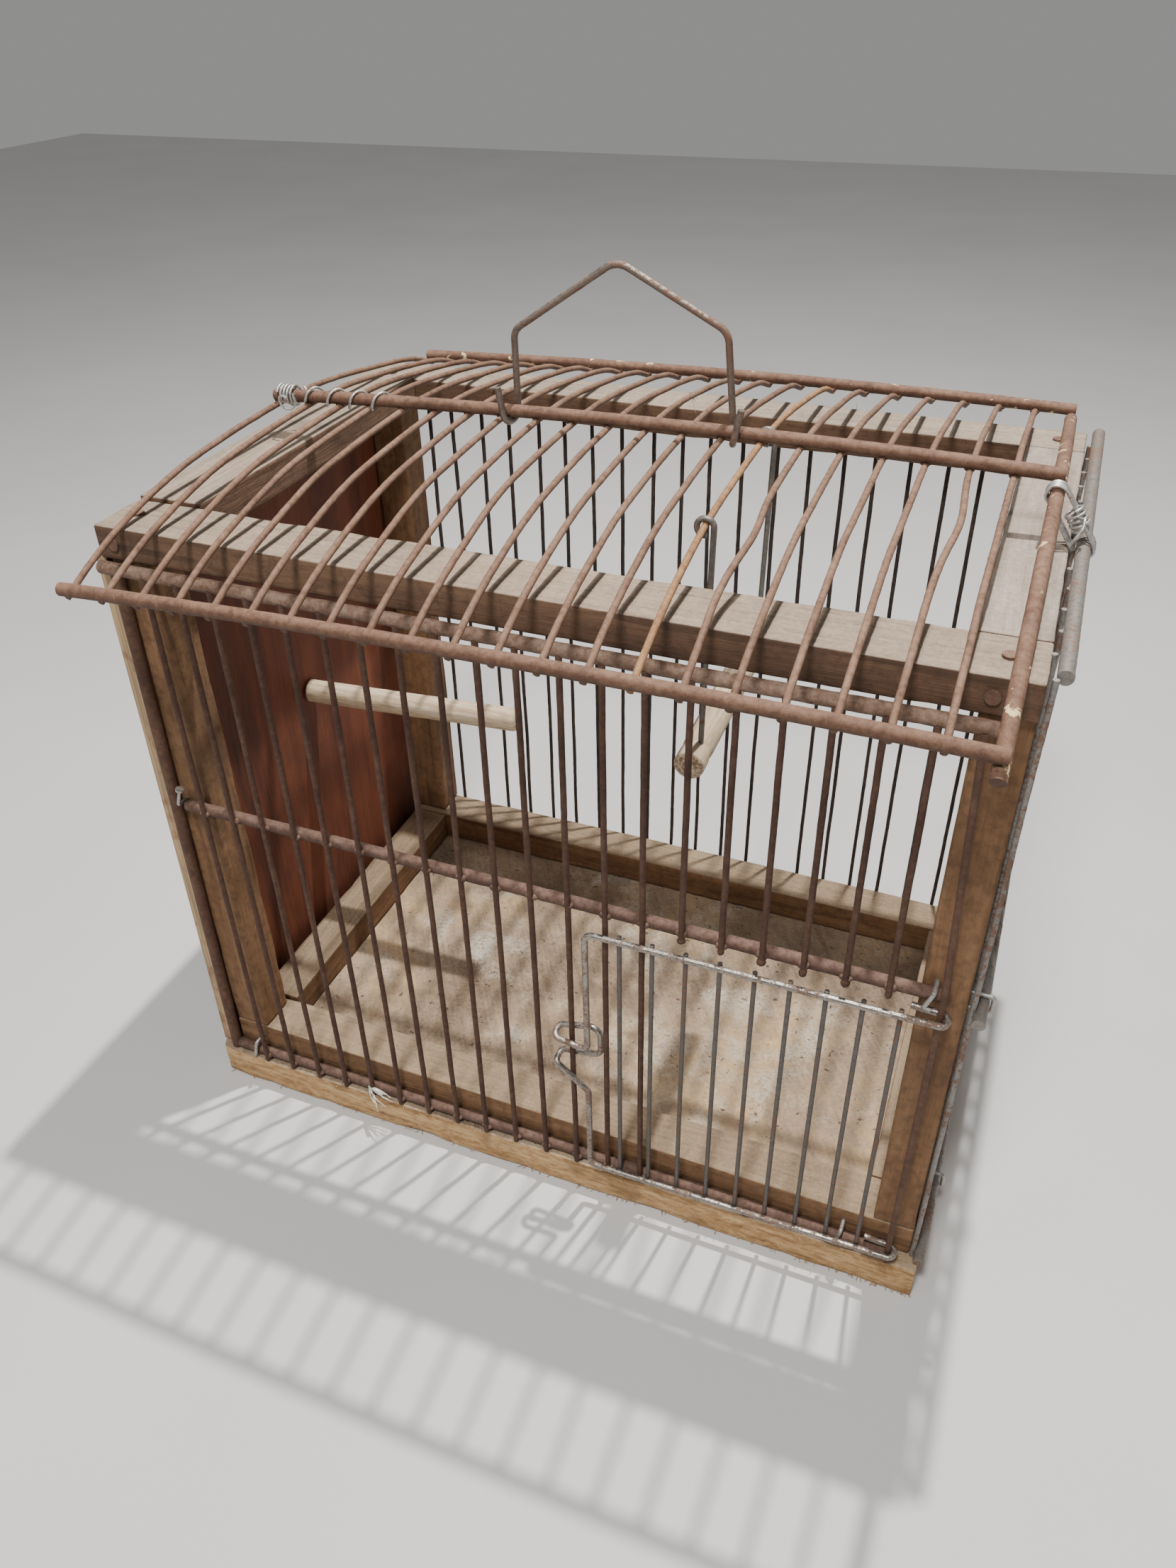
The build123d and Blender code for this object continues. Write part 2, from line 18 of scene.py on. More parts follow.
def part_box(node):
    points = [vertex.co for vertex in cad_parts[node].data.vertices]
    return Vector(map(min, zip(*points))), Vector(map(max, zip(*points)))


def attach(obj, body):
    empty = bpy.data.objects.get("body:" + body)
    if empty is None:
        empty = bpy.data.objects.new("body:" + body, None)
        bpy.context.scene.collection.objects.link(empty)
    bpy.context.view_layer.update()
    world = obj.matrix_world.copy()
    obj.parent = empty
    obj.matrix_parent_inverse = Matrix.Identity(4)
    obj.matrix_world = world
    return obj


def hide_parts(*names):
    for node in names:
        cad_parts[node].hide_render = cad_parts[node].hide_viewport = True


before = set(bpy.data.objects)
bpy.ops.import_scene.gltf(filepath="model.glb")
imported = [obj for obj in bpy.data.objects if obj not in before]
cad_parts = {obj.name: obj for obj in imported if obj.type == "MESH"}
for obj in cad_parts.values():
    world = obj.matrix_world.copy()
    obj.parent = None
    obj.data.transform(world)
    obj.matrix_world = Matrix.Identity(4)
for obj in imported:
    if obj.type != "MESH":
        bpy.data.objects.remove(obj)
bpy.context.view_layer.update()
LOG = logging.getLogger("carrying_cage")
MM = 0.001
TINY = 1e-9                  # a length that counts as nothing
ROD_SKIN = 0.12 * MM         # a visual rod is this much thinner than the CAD rod, to leave room for its lumps
HALF = (0.5, 0.5, 0.5)       # the middle of a noise colour

Link = bpy.types.NodeSocket
Tree = bpy.types.NodeTree
Material = bpy.types.Material
Colour = tuple[float, float, float]
Point = tuple[float, float, float]


class Grain(Enum):
    """The direction that a board's fibres run."""

    X = 0
    Y = 1
    Z = 2

    def squeezed(self, amount: float) -> Point:
        """A scale that draws a pattern out along the fibres."""
        return tuple(amount if i == self.value else 1.0 for i in range(3))


class Body(Enum):
    """The bodies that pieces made here ride on."""

    CAGE = "cage"
    SWING = "swing"


class Box:
    """A CAD node's bounding box."""

    def __init__(self, node: str) -> None:
        """Measure the node."""
        self.low, self.high = (Vector(corner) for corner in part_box(node))
        self.middle = (self.low + self.high) / 2
        self.size = self.high - self.low
        self.long_axis = max(range(3), key=lambda i: self.size[i])


# ---- Shader maths ----


def _operator(operation: str, swapped: bool = False) -> Callable[["Sock", object], "Sock"]:
    """A method for Sock that adds one Math node; swapped puts the other value first."""

    def method(self: "Sock", other: object) -> "Sock":
        """The operation's result."""
        return self.join(operation, other, self) if swapped else self.join(operation, self, other)

    return method


class Sock:
    """A shader value: Python's operators on it add Math nodes."""

    def __init__(self, tree: Tree, socket: Link) -> None:
        """Keep the tree and the socket that carries the value."""
        self.tree = tree
        self.socket = socket

    def join(self, operation: str, first: object, second: object, clamp: bool = False) -> "Sock":
        """Add one Math node.

        Args:
            operation: The Math node's operation.
            first: A Sock or a number.
            second: A Sock or a number.
            clamp: Whether the result is kept between 0 and 1.

        Returns:
            The node's result.
        """
        node = self.tree.nodes.new("ShaderNodeMath")
        node.operation = operation
        node.use_clamp = clamp
        for socket, value in zip(node.inputs, (first, second)):
            if isinstance(value, Sock):
                self.tree.links.new(value.socket, socket)
            else:
                socket.default_value = float(value)
        return Sock(self.tree, node.outputs[0])

    __add__, __radd__ = _operator("ADD"), _operator("ADD", swapped=True)
    __sub__, __rsub__ = _operator("SUBTRACT"), _operator("SUBTRACT", swapped=True)
    __mul__, __rmul__ = _operator("MULTIPLY"), _operator("MULTIPLY", swapped=True)
    __truediv__ = _operator("DIVIDE")

    def clamped(self) -> "Sock":
        """The value kept between 0 and 1."""
        return self.join("ADD", self, 0.0, clamp=True)

    def above(self, edge: float, softness: float) -> "Sock":
        """A mask that rises from 0 to 1 over a range of width softness, centred on edge."""
        return ((self - (edge - softness / 2)) / softness).clamped()


class NodeMaker:
    """Adds nodes to one tree."""

    def __init__(self, tree: Tree) -> None:
        """Keep the tree."""
        self.tree = tree

    def plug(self, socket: Link, value: object) -> None:
        """Feed an input.

        Args:
            socket: The input.
            value: A Sock, a link or a plain value.
        """
        if isinstance(value, Sock):
            value = value.socket
        if isinstance(value, Link):
            self.tree.links.new(value, socket)
        else:
            socket.default_value = value

    def node(self, kind: str, settings: dict | None = None, inputs: dict | None = None) -> bpy.types.Node:
        """Add a node.

        Args:
            kind: The node's type.
            settings: Values for its own properties, set first.
            inputs: A value or a link for each input, by name or number.

        Returns:
            The node.
        """
        node = self.tree.nodes.new(kind)
        for name, value in (settings or {}).items():
            setattr(node, name, value)
        for key, value in (inputs or {}).items():
            self.plug(node.inputs[key], value)
        return node

    def vectors(self, operation: str, first: object, second: object) -> Link:
        """Add a Vector Math node and give its result."""
        key = "Scale" if operation == "SCALE" else 1
        return self.node("ShaderNodeVectorMath", {"operation": operation}, {0: first, key: second}).outputs[0]

    def push(self, amount: object, **look: object) -> Link:
        """A noise vector about nought, scaled by amount; look is the Noise node's inputs."""
        cloud = self.node("ShaderNodeTexNoise", inputs=look)
        return self.vectors("SCALE", self.vectors("SUBTRACT", cloud.outputs["Color"], HALF), amount)


class Dresser(NodeMaker):
    """Builds one node material."""

    def __init__(self, name: str) -> None:
        """Start an empty material of that name with a Principled shader."""
        self.material = bpy.data.materials.new(name)
        self.material.use_nodes = True
        super().__init__(self.material.node_tree)
        self.tree.nodes.clear()
        self.shader = self.node("ShaderNodeBsdfPrincipled")
        self.node("ShaderNodeOutputMaterial", inputs={0: self.shader.outputs[0]})
        self.place = self.node("ShaderNodeTexCoord").outputs["Object"]
        self.facing = self._parts(self.node("ShaderNodeNewGeometry").outputs["Normal"])
        self.where = self._parts(self.place)

    def _parts(self, vector: Link) -> list[Sock]:
        """The vector's X, Y and Z."""
        parts = self.node("ShaderNodeSeparateXYZ", inputs={0: vector})
        return [Sock(self.tree, output) for output in parts.outputs]

    def stretched(self, scale: Point, shift: Point = (0, 0, 0), source: object = None) -> Link:
        """Coordinates, stretched.

        Args:
            scale: The scale along X, Y and Z.
            shift: An offset that makes one piece's pattern differ from another's.
            source: The coordinates to start from, or nothing for Object coordinates.

        Returns:
            The vector's socket.
        """
        inputs = {"Vector": source or self.place, "Scale": scale, "Location": shift}
        return self.node("ShaderNodeMapping", inputs=inputs).outputs[0]

    def cloud(self, scale: float, detail: float = 3.0, source: object = None, rough: float = 0.55) -> Sock:
        """Noise between 0 and 1.

        Args:
            scale: How many features fit in a metre, about.
            detail: The number of finer layers.
            source: The coordinates, or nothing for Object coordinates.
            rough: The weight of the finer layers.

        Returns:
            The noise.
        """
        inputs = {"Vector": source or self.place, "Scale": scale, "Detail": detail, "Roughness": rough}
        return Sock(self.tree, self.node("ShaderNodeTexNoise", inputs=inputs).outputs["Fac"])

    def warped(self, source: object, scale: float, amount: float) -> Link:
        """Coordinates pushed about by noise of a scale, by up to half of amount."""
        return self.vectors("ADD", source, self.push(amount, Vector=source, Scale=scale, Detail=2.0))

    def ramp(self, factor: Sock, stops: list[tuple[float, Colour]]) -> Link:
        """Colours along a value.

        Args:
            factor: The value.
            stops: Positions and colours, in order.

        Returns:
            The colour's link.
        """
        node = self.node("ShaderNodeValToRGB", inputs={0: factor})
        marks = node.color_ramp.elements
        while len(marks) < len(stops):
            marks.new(0.5)
        for mark, (position, colour) in zip(marks, stops):
            mark.position = position
            mark.color = (*colour, 1.0)
        return node.outputs[0]

    def blend(self, factor: object, under: object, over: object) -> Link:
        """Two colours or their sockets mixed; factor is how much of over there is."""
        under, over = [(*c, 1.0) if isinstance(c, tuple) else c for c in (under, over)]
        return self.node("ShaderNodeMix", {"data_type": "RGBA"}, {0: factor, 6: under, 7: over}).outputs[2]

    def finish(
        self, colour: object, rough: object, height: object, depth: float, metal: object = 0.0
    ) -> Material:
        """Feed the shader.

        Args:
            colour: Base colour.
            rough: Roughness, a number or a Sock.
            height: Bump height between 0 and 1.
            depth: What a height of 1 means, in metres.
            metal: Metallic, a number or a Sock.

        Returns:
            The finished material.
        """
        bump = self.node("ShaderNodeBump", inputs={"Height": height, "Distance": depth, "Strength": 1.0})
        feeds = {"Base Color": colour, "Roughness": rough, "Metallic": metal, "Normal": bump.outputs[0]}
        for name, value in feeds.items():
            self.plug(self.shader.inputs[name], value)
        return self.material


def dimmed(colour: Colour, share: float, lift: float = 0.0) -> Colour:
    """A colour times share plus lift, at most white."""
    return tuple(min(1.0, c * share + lift) for c in colour)


# ---- Finishes ----


@dataclass(frozen=True)
class TimberFinish:
    """Old sawn softwood: brown sides, dusty grey upper faces, dark streaks."""

    name: str
    grain: Grain = Grain.X
    dark: Colour = (0.035, 0.017, 0.009)
    body: Colour = (0.110, 0.056, 0.030)
    pale: Colour = (0.215, 0.125, 0.070)
    top: Colour = (0.42, 0.325, 0.245)
    top_cover: float = 0.95
    stain: float = 0.35
    seed: float = 0.0

    def dress(self) -> Material:
        """Build the material."""
        d = Dresser(self.name)
        along = self.grain.squeezed(0.045)
        bent = d.warped(d.place, 14.0, 0.006)
        fibres = d.stretched(along, (self.seed, self.seed * 0.7, self.seed * 0.3), bent)
        rings = d.cloud(85.0, 2.0, fibres)
        streaks = d.cloud(420.0, 3.0, fibres, 0.6)
        hair = d.cloud(1500.0, 2.0, fibres, 0.6)
        patches = d.cloud(11.0, 3.0, d.stretched((1, 1, 1), (self.seed, 0, 0)))
        tone = rings * 0.5 + streaks * 0.3 + hair * 0.2
        wood = d.ramp(tone, [(0.22, self.dark), (0.48, self.body), (0.80, self.pale)])
        wood = d.blend(patches.above(0.60, 0.16) * self.stain, wood, self.dark)
        lines = d.cloud(130.0, 1.0, d.stretched(along, (self.seed + 3, 0, 0), bent)).above(0.66, 0.05)
        wood = d.blend(lines * 0.4, wood, dimmed(self.dark, 0.6))
        # Dark grime in patches at random.
        grime_and_underside_shade = d.cloud(170.0, 5.0, rough=0.7).above(0.55, 0.16)
        wood = d.blend(grime_and_underside_shade * 0.45, wood, self.dark)
        dust = d.cloud(60.0, 4.0) * 0.5 + hair * 0.35 + streaks * 0.3
        cover = d.facing[2].above(0.55, 0.3) * (0.55 + dust * 0.6).clamped() * self.top_cover
        felt = d.cloud(420.0, 6.0, rough=0.75)
        worn = (streaks * 0.4 + felt * 0.5 + patches * 0.3).above(0.60, 0.30)
        wood = d.blend(cover.clamped(), wood, d.blend(worn, self.top, dimmed(self.top, 0.42)))
        relief = streaks * 0.5 + hair * 0.3 + felt * 0.3
        return d.finish(wood, 0.78 + hair * 0.2, relief, 1.0 * MM)


@dataclass(frozen=True)
class FloorBoardFinish:
    """The base board: a golden rough-sawn edge and a dusty, soiled top."""

    name: str
    dark: Colour = (0.12, 0.055, 0.022)
    body: Colour = (0.40, 0.225, 0.092)
    pale: Colour = (0.66, 0.44, 0.22)
    top: Colour = (0.335, 0.245, 0.165)
    top_dark: Colour = (0.135, 0.085, 0.052)
    droppings: Colour = (0.60, 0.54, 0.46)
    speck: Colour = (0.05, 0.03, 0.02)
    saw_angle: float = math.radians(58)

    def dress(self) -> Material:
        """Build the material."""
        d = Dresser(self.name)
        fibres = d.stretched((0.05, 1.0, 1.0), (0.4, 0.2, 0), d.warped(d.place, 9.0, 0.010))
        rings = d.cloud(70.0, 2.0, fibres)
        streaks = d.cloud(430.0, 4.0, fibres, 0.65)
        hair = d.cloud(1700.0, 2.0, fibres, 0.6)
        torn = d.cloud(520.0, 4.0, d.stretched((0.22, 1.0, 0.7), source=d.warped(d.place, 60.0, 0.01)), 0.65)
        tone = rings * 0.3 + streaks * 0.25 + torn * 0.35 + hair * 0.1
        edge = d.ramp(tone, [(0.36, self.dark), (0.48, self.body), (0.60, self.pale)])
        edge = d.blend(d.cloud(35.0, 3.0).above(0.60, 0.1) * 0.4, edge, self.dark)
        turned = d.node("ShaderNodeMapping", inputs={"Vector": d.place, "Rotation": (0, 0, self.saw_angle)})
        skew = d.stretched((0.06, 1.0, 1.0), (1.3, 0, 0), d.warped(turned.outputs[0], 10.0, 0.012))
        saw = d.cloud(330.0, 3.0, skew, 0.6)
        broad = d.cloud(13.0, 5.0, d.warped(d.place, 20.0, 0.03), 0.6)
        grit = d.cloud(520.0, 4.0, rough=0.7)
        tone = saw * 0.18 + broad * 0.52 + grit * 0.3
        top = d.ramp(tone, [(0.36, self.top_dark), (0.50, self.top), (0.68, self.pale)])
        smear = d.cloud(24.0, 5.0, d.warped(d.place, 30.0, 0.03), 0.62).above(0.60, 0.17)
        inner = (0.17 - d.where[0] * d.where[0] * 3.2 - d.where[1] * d.where[1] * 6.0).above(0.04, 0.1)
        top = d.blend(smear * inner * grit.above(0.46, 0.2) * 0.85, top, self.droppings)
        wet = d.cloud(19.0, 3.0, d.stretched((1, 1, 1), (4.0, 1.0, 0))).above(0.60, 0.08)
        top = d.blend(wet * 0.5, top, self.top_dark)
        top = d.blend(d.cloud(230.0, 2.0).above(0.70, 0.04) * 0.8, top, self.speck)
        colour = d.blend(d.facing[2].above(0.6, 0.3), edge, top)
        relief = streaks * 0.25 + torn * 0.5 + saw * 0.15 + grit * 0.3
        return d.finish(colour, 0.80 + hair * 0.18, relief, 1.4 * MM)


@dataclass(frozen=True)
class PlywoodFinish:
    """Reddish veneer with upright grain, and raw pale edges that show the plies."""

    name: str
    dark: Colour = (0.050, 0.015, 0.008)
    body: Colour = (0.155, 0.040, 0.016)
    pale: Colour = (0.25, 0.078, 0.033)
    edge: Colour = (0.46, 0.31, 0.17)

    def dress(self) -> Material:
        """Build the material."""
        d = Dresser(self.name)
        fibres = d.stretched(Grain.Z.squeezed(0.05), (0.9, 0, 0), d.warped(d.place, 12.0, 0.008))
        streaks = d.cloud(360.0, 3.0, fibres, 0.6)
        pores = d.cloud(1500.0, 2.0, fibres)
        tone = d.cloud(38.0, 2.0, fibres) * 0.55 + streaks * 0.3 + pores * 0.15
        face = d.ramp(tone, [(0.34, self.dark), (0.48, self.body), (0.66, self.pale)])
        face = d.blend(d.cloud(13.0, 4.0).above(0.57, 0.16) * 0.5, face, self.dark)
        plies = d.cloud(900.0, 1.0, d.stretched((1.0, 0.02, 0.02)))
        raw = d.ramp(plies, [(0.38, dimmed(self.edge, 0.62)), (0.60, self.edge)])
        raw = d.blend(d.cloud(90.0, 3.0).above(0.60, 0.15) * 0.5, raw, self.body)
        colour = d.blend((d.facing[0] * d.facing[0]).above(0.5, 0.3), raw, face)
        return d.finish(colour, 0.62 + streaks * 0.25, streaks * 0.5 + pores * 0.5, 0.4 * MM)


@dataclass(frozen=True)
class RustFinish:
    """Rusty iron, with the remains of old paint or plating."""

    name: str
    dark: Colour = (0.048, 0.021, 0.012)
    body: Colour = (0.118, 0.055, 0.031)
    pale: Colour = (0.200, 0.113, 0.070)
    flake: Colour = (0.66, 0.52, 0.27)
    flakes: float = 0.0
    rough: float = 0.78
    dust: float = 0.2
    # How much the downward faces are darkened, as painted shade.
    grime_and_underside_shade: float = 0.5

    def dress(self) -> Material:
        """Build the material."""
        d = Dresser(self.name)
        mottle = d.cloud(330.0, 4.0, rough=0.65)
        fine = d.cloud(1600.0, 3.0, rough=0.6)
        tone = d.cloud(45.0, 3.0) * 0.35 + mottle * 0.4 + fine * 0.25
        colour = d.ramp(tone, [(0.32, self.dark), (0.48, self.body), (0.64, self.pale)])
        # Painted shade: the downward faces are darkened, as if in shadow.
        under = (0.0 - d.facing[2]).above(0.2, 0.9) * self.grime_and_underside_shade
        colour = d.blend(under.clamped(), colour, self.dark)
        top = d.facing[2].above(0.5, 0.7) * mottle.above(0.42, 0.3) * self.dust
        colour = d.blend(top, colour, dimmed(self.pale, 1.25, 0.03))
        chip = d.cloud(150.0, 3.0, d.warped(d.place, 90.0, 0.006)).above(0.78 - 0.2 * self.flakes, 0.03)
        if self.flakes:
            colour = d.blend(chip, colour, self.flake)
        relief = mottle * 0.6 + fine * 0.4 + chip * 0.5
        return d.finish(colour, self.rough + fine * 0.25 - 0.1, relief, 0.35 * MM)


@dataclass(frozen=True)
class PlatedFinish:
    """Plated or galvanised wire: dull silver, mottled with rust."""

    name: str
    silver: Colour = (0.50, 0.47, 0.43)
    shadow: Colour = (0.20, 0.175, 0.155)
    rusted: float = 0.45
    metal: float = 0.75
    rough: float = 0.42
    rust: Colour = (0.15, 0.072, 0.040)

    def dress(self) -> Material:
        """Build the material."""
        d = Dresser(self.name)
        mottle = d.cloud(420.0, 4.0, rough=0.65)
        fine = d.cloud(1800.0, 2.0)
        colour = d.ramp(mottle * 0.7 + fine * 0.3, [(0.30, self.shadow), (0.55, self.silver)])
        spots = (mottle * 0.6 + d.cloud(38.0, 3.0) * 0.4).above(0.62 - 0.2 * self.rusted, 0.07)
        colour = d.blend(spots * 0.9, colour, self.rust)
        rough = self.rough + spots * 0.35 + fine * 0.12
        relief = mottle * 0.5 + fine * 0.2 + spots * 0.4
        return d.finish(colour, rough, relief, 0.12 * MM, (1.0 - spots) * self.metal)


@dataclass(frozen=True)
class DowelFinish:
    """Pale bare dowel, with darker soiled end grain."""

    name: str
    grain: Grain = Grain.X
    dark: Colour = (0.40, 0.275, 0.165)
    body: Colour = (0.60, 0.465, 0.315)
    pale: Colour = (0.74, 0.62, 0.47)
    end: Colour = (0.21, 0.125, 0.070)

    def dress(self) -> Material:
        """Build the material."""
        d = Dresser(self.name)
        fibres = d.stretched(self.grain.squeezed(0.05), source=d.warped(d.place, 30.0, 0.003))
        streaks = d.cloud(520.0, 3.0, fibres, 0.6)
        hair = d.cloud(2200.0, 2.0, fibres)
        tone = streaks * 0.65 + hair * 0.35
        colour = d.ramp(tone, [(0.34, self.dark), (0.5, self.body), (0.64, self.pale)])
        colour = d.blend(d.cloud(70.0, 4.0).above(0.60, 0.12) * 0.4, colour, self.dark)
        facing = d.facing[self.grain.value]
        rings = d.ramp(d.cloud(700.0, 3.0), [(0.4, self.end), (0.62, self.body)])
        colour = d.blend((facing * facing).above(0.55, 0.3), colour, rings)
        return d.finish(colour, 0.72 + hair * 0.2, streaks * 0.6 + hair * 0.4, 0.4 * MM)


@dataclass(frozen=True)
class PlainFinish:
    """Two close tones mottled together: caught fibre, splinters, the studio's floor."""

    name: str
    pale: Colour = (0.78, 0.74, 0.66)
    dull: Colour = (0.52, 0.46, 0.38)
    scale: float = 300.0
    spread: float = 0.1
    rough: float = 0.85
    fine: float = 2500.0

    def dress(self) -> Material:
        """Build the material."""
        d = Dresser(self.name)
        stops = [(0.5 - self.spread, self.dull), (0.5 + self.spread, self.pale)]
        return d.finish(d.ramp(d.cloud(self.scale), stops), self.rough, d.cloud(self.fine), 0.1 * MM)


# ---- Geometry Nodes ----


class NodeTreeMaker(NodeMaker):
    """Builds one Geometry Nodes tree with named inputs."""

    def __init__(self, name: str, inputs: list[tuple[str, str, object]]) -> None:
        """Start a tree.

        Args:
            name: The tree's name.
            inputs: The name, type and default of each input after the geometry.
        """
        super().__init__(bpy.data.node_groups.new(name, "GeometryNodeTree"))
        face = self.tree.interface
        for label, kind, default in [("Geometry", "Geometry", None), *inputs, ("Finish", "Material", None)]:
            socket = face.new_socket(label, in_out="INPUT", socket_type=f"NodeSocket{kind}")
            if default is not None:
                socket.default_value = default
        face.new_socket("Geometry", in_out="OUTPUT", socket_type="NodeSocketGeometry")
        self.start = self.tree.nodes.new("NodeGroupInput")

    def plug(self, socket: Link, value: object) -> None:
        """Feed an input; a string is the name of one of the tree's own inputs."""
        super().plug(socket, self.start.outputs[value] if isinstance(value, str) else value)

    def maths(self, operation: str, first: object, second: object) -> Link:
        """Add a Math node and give its result."""
        return self.node("ShaderNodeMath", {"operation": operation}, {0: first, 1: second}).outputs[0]

    def spread(self, least: dict, most: dict) -> Link:
        """A random vector between two, each given as the inputs of a Combine XYZ node."""
        ends = [self.node("ShaderNodeCombineXYZ", inputs=parts).outputs[0] for parts in (least, most)]
        inputs = {0: ends[0], 1: ends[1], "Seed": "Draw"}
        return self.node("FunctionNodeRandomValue", {"data_type": "FLOAT_VECTOR"}, inputs).outputs[0]

    def copies(self, points: object, instance: object, **look: object) -> Link:
        """A real copy of instance on every point."""
        inputs = {"Points": points, "Instance": instance, **look}
        placed = self.node("GeometryNodeInstanceOnPoints", inputs=inputs)
        return self.node("GeometryNodeRealizeInstances", inputs={0: placed.outputs[0]}).outputs[0]

    def moved(self, geometry: object, offset: object) -> Link:
        """The geometry with its points moved."""
        return self.node("GeometryNodeSetPosition", inputs={0: geometry, "Offset": offset}).outputs[0]

    def close(self, geometry: Link) -> Tree:
        """Shade and dress the geometry, and end the tree."""
        smooth = self.node("GeometryNodeSetShadeSmooth", inputs={0: geometry})
        real = self.node("GeometryNodeRealizeInstances", inputs={0: smooth.outputs[0]})
        dressed = self.node("GeometryNodeSetMaterial", inputs={0: real.outputs[0], "Material": "Finish"})
        self.node("NodeGroupOutput", inputs={0: dressed.outputs[0]})
        return self.tree


SHEATH_INPUTS = [
    ("Radius", "Float", 1.65 * MM),
    ("Step", "Float", 4 * MM),
    ("Sway", "Float", 0.6 * MM),
    ("Lumps", "Float", 0.25 * MM),
    ("Lump Scale", "Float", 260.0),
    ("Sides", "Int", 10),
    ("Seed", "Float", 0.0),
]
ROW_INPUTS = [
    ("Count", "Int", 10),
    ("First Foot", "Vector", (0, 0, 0)),
    ("Pitch", "Vector", (0.02, 0, 0)),
    ("Height", "Float", 0.3),
    ("Lean", "Float", 0.004),
    ("Draw", "Int", 1),
]
BLOB_INPUTS = [
    ("Radius", "Float", 2.2 * MM),
    ("Spread", "Float", 0.35),
    ("Roughness", "Float", 1.2 * MM),
    ("Draw", "Int", 3),
]
SWAY_SCALE = 17.0            # bends of a wire in a metre, about
BLOB_SCALE = 420.0           # lumps on a weld in a metre, about


def sheathe(maker: NodeTreeMaker, curves: Link) -> Link:
    """Wire round each curve, a little bent and lumpy with rust.

    Args:
        maker: The tree, which has the SHEATH_INPUTS.
        curves: The wires' axes.

    Returns:
        The wires' surface.
    """
    even = maker.node("GeometryNodeResampleCurve", {"mode": "LENGTH"}, {"Curve": curves, "Length": "Step"})
    place = maker.node("GeometryNodeInputPosition").outputs[0]
    seed = maker.node("ShaderNodeCombineXYZ", inputs={0: "Seed", 1: "Seed"}).outputs[0]
    shifted = maker.vectors("ADD", place, seed)
    bent = maker.moved(even.outputs[0], maker.push("Sway", Vector=shifted, Scale=SWAY_SCALE, Detail=1.0))
    ring = maker.node("GeometryNodeCurvePrimitiveCircle", inputs={"Resolution": "Sides", "Radius": "Radius"})
    skin = maker.node("GeometryNodeCurveToMesh", inputs={0: bent, 1: ring.outputs[0], "Fill Caps": True})
    inputs = {"Vector": shifted, "Scale": "Lump Scale", "Detail": 3.0}
    bumps = maker.node("ShaderNodeTexNoise", inputs=inputs).outputs["Fac"]
    swell = maker.maths("MULTIPLY", maker.maths("SUBTRACT", bumps, 0.5), "Lumps")
    normal = maker.node("GeometryNodeInputNormal").outputs[0]
    return maker.moved(skin.outputs[0], maker.vectors("SCALE", normal, swell))


def sheath_tree() -> Tree:
    """A tree that turns polylines into wires."""
    maker = NodeTreeMaker("bent_wire_sheath", SHEATH_INPUTS)
    lines = maker.node("GeometryNodeMeshToCurve", inputs={0: "Geometry"})
    return maker.close(sheathe(maker, lines.outputs[0]))


def row_tree() -> Tree:
    """A tree that stands a row of straight wires at an even pitch."""
    maker = NodeTreeMaker("wire_row", ROW_INPUTS + SHEATH_INPUTS)
    inputs = {"Count": "Count", "Start Location": "First Foot", "Offset": "Pitch"}
    feet = maker.node("GeometryNodeMeshLine", inputs=inputs)
    tip = maker.node("ShaderNodeCombineXYZ", inputs={2: "Height"})
    stick = maker.node("GeometryNodeCurvePrimitiveLine", inputs={"End": tip.outputs[0]})
    turn = maker.spread({1: maker.maths("MULTIPLY", "Lean", -1.0)}, {1: "Lean"})
    return maker.close(sheathe(maker, maker.copies(feet.outputs[0], stick.outputs[0], Rotation=turn)))


def blob_tree() -> Tree:
    """A tree that puts a lump of weld on every vertex it is given."""
    maker = NodeTreeMaker("weld_blobs", BLOB_INPUTS)
    ball = maker.node("GeometryNodeMeshIcoSphere", inputs={"Radius": "Radius", "Subdivisions": 2})
    ends = [maker.maths(operation, 1.0, "Spread") for operation in ("SUBTRACT", "ADD")]
    size = maker.spread(*(dict.fromkeys(range(3), end) for end in ends))
    real = maker.copies("Geometry", ball.outputs[0], Scale=size)
    return maker.close(maker.moved(real, maker.push("Roughness", Scale=BLOB_SCALE, Detail=2.0)))
